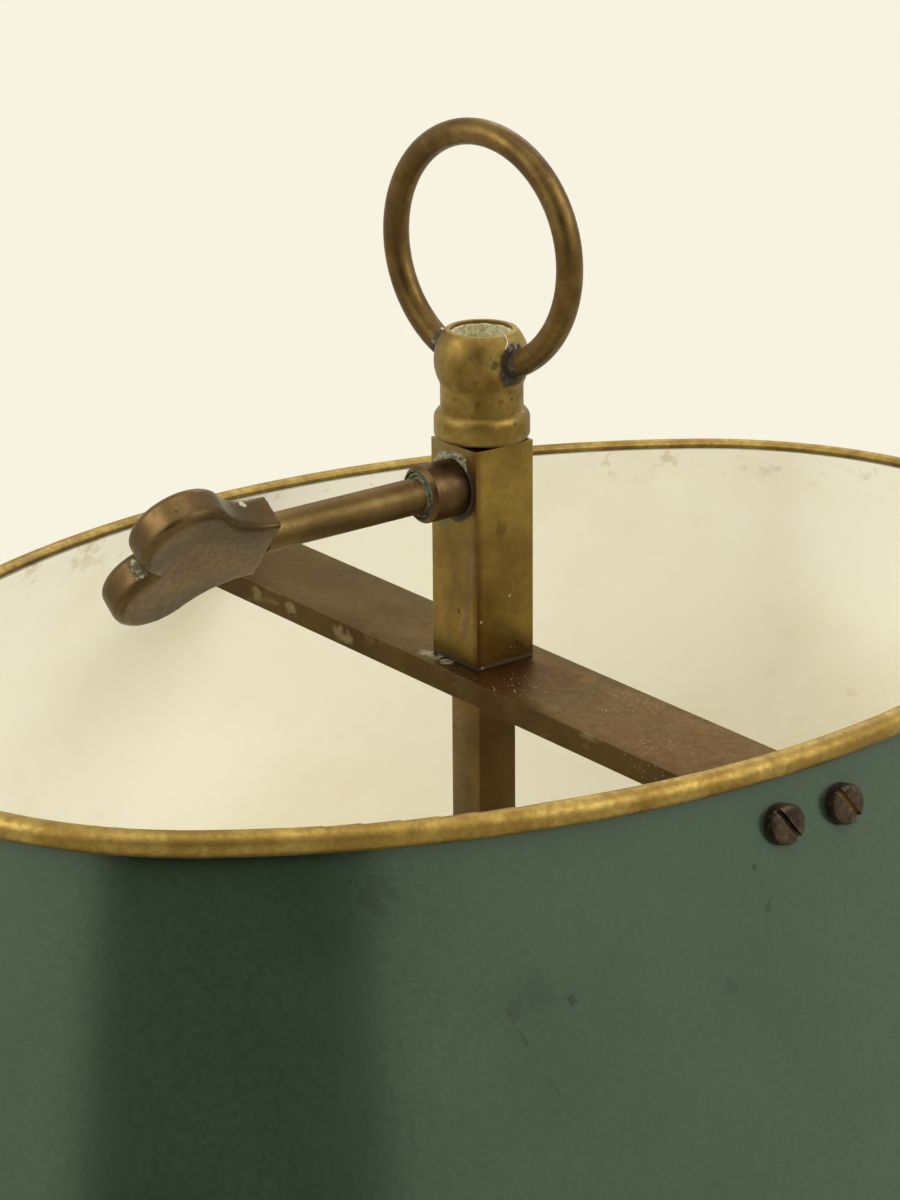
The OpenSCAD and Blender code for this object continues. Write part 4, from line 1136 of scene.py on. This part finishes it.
def addFloor():
    bpy.ops.mesh.primitive_plane_add(size=roomLook["floorSize"])
    floor = bpy.context.object
    floor.name = "floor"
    finish, tree, shader, place = newFinish("floorPaper")
    paper = blend(tree, cloudy(tree, place, 300), roomLook["backdrop"], roomLook["paperGrain"])
    feed(tree, paper, shader.inputs["Base Color"])
    shader.inputs["Roughness"].default_value = 0.9
    shader.inputs["Specular IOR Level"].default_value = 0.1
    glow = tree.nodes.new("ShaderNodeEmission")
    glow.inputs["Color"].default_value = roomLook["backdrop"]
    far = between(tree, distance(tree, place, (0, 0, 0)), *roomLook["floorFade"])
    mixer = tree.nodes.new("ShaderNodeMixShader")
    feed(tree, times(tree, far, shownShare(tree)), mixer.inputs[0])
    feed(tree, shader.outputs[0], mixer.inputs[1])
    feed(tree, glow.outputs[0], mixer.inputs[2])
    feed(tree, mixer.outputs[0], tree.nodes["Material Output"].inputs["Surface"])
    floor.data.materials.append(finish)


def aimAt(thing, azimuth, height, reach):
    around, up = math.radians(azimuth), math.radians(height)
    away = Vector((math.sin(around) * math.cos(up), -math.cos(around) * math.cos(up), math.sin(up)))
    thing.location = Vector(roomLook["aim"]) + away * reach
    thing.rotation_euler = away.to_track_quat("Z", "Y").to_euler()


def addWorld():
    world = bpy.data.worlds.new("paleRoom")
    bpy.context.scene.world = world
    world.use_nodes = True
    tree = world.node_tree
    background = tree.nodes["Background"]
    shown = shownShare(tree)
    colour = blend(tree, shown, (*roomLook["tint"], 1.0), roomLook["backdrop"])
    feed(tree, colour, background.inputs["Color"])
    feed(tree, between(tree, shown, 0, 1, roomLook["ambient"], 1.0), background.inputs["Strength"])


def addLamps():
    for azimuth, height, reach, size, watts in roomLook["lamps"]:
        bpy.ops.object.light_add(type="AREA")
        lamp = bpy.context.object
        lamp.data.shape = "DISK"
        lamp.data.size = size
        lamp.data.energy = watts
        lamp.data.color = roomLook["tint"]
        aimAt(lamp, azimuth, height, reach)


def addCard():
    bpy.ops.mesh.primitive_plane_add(size=1)
    card = bpy.context.object
    card.name = "darkCard"
    card.scale = roomLook["cardSize"]
    aimAt(card, *roomLook["card"])
    finish, tree, shader, place = newFinish("darkFelt")
    dark = blend(tree, cloudy(tree, place, 40), *roomLook["cardShades"])
    feed(tree, dark, shader.inputs["Base Color"])
    shader.inputs["Roughness"].default_value = 1.0
    along = axes(tree, tree.nodes["Texture Coordinate"].outputs["Generated"])[0]
    feed(tree, between(tree, along, *roomLook["cardFade"]), shader.inputs["Alpha"])
    card.data.materials.append(finish)
    card.visible_camera = False


addFloor()
addWorld()
addLamps()
addCard()
print("room lit")
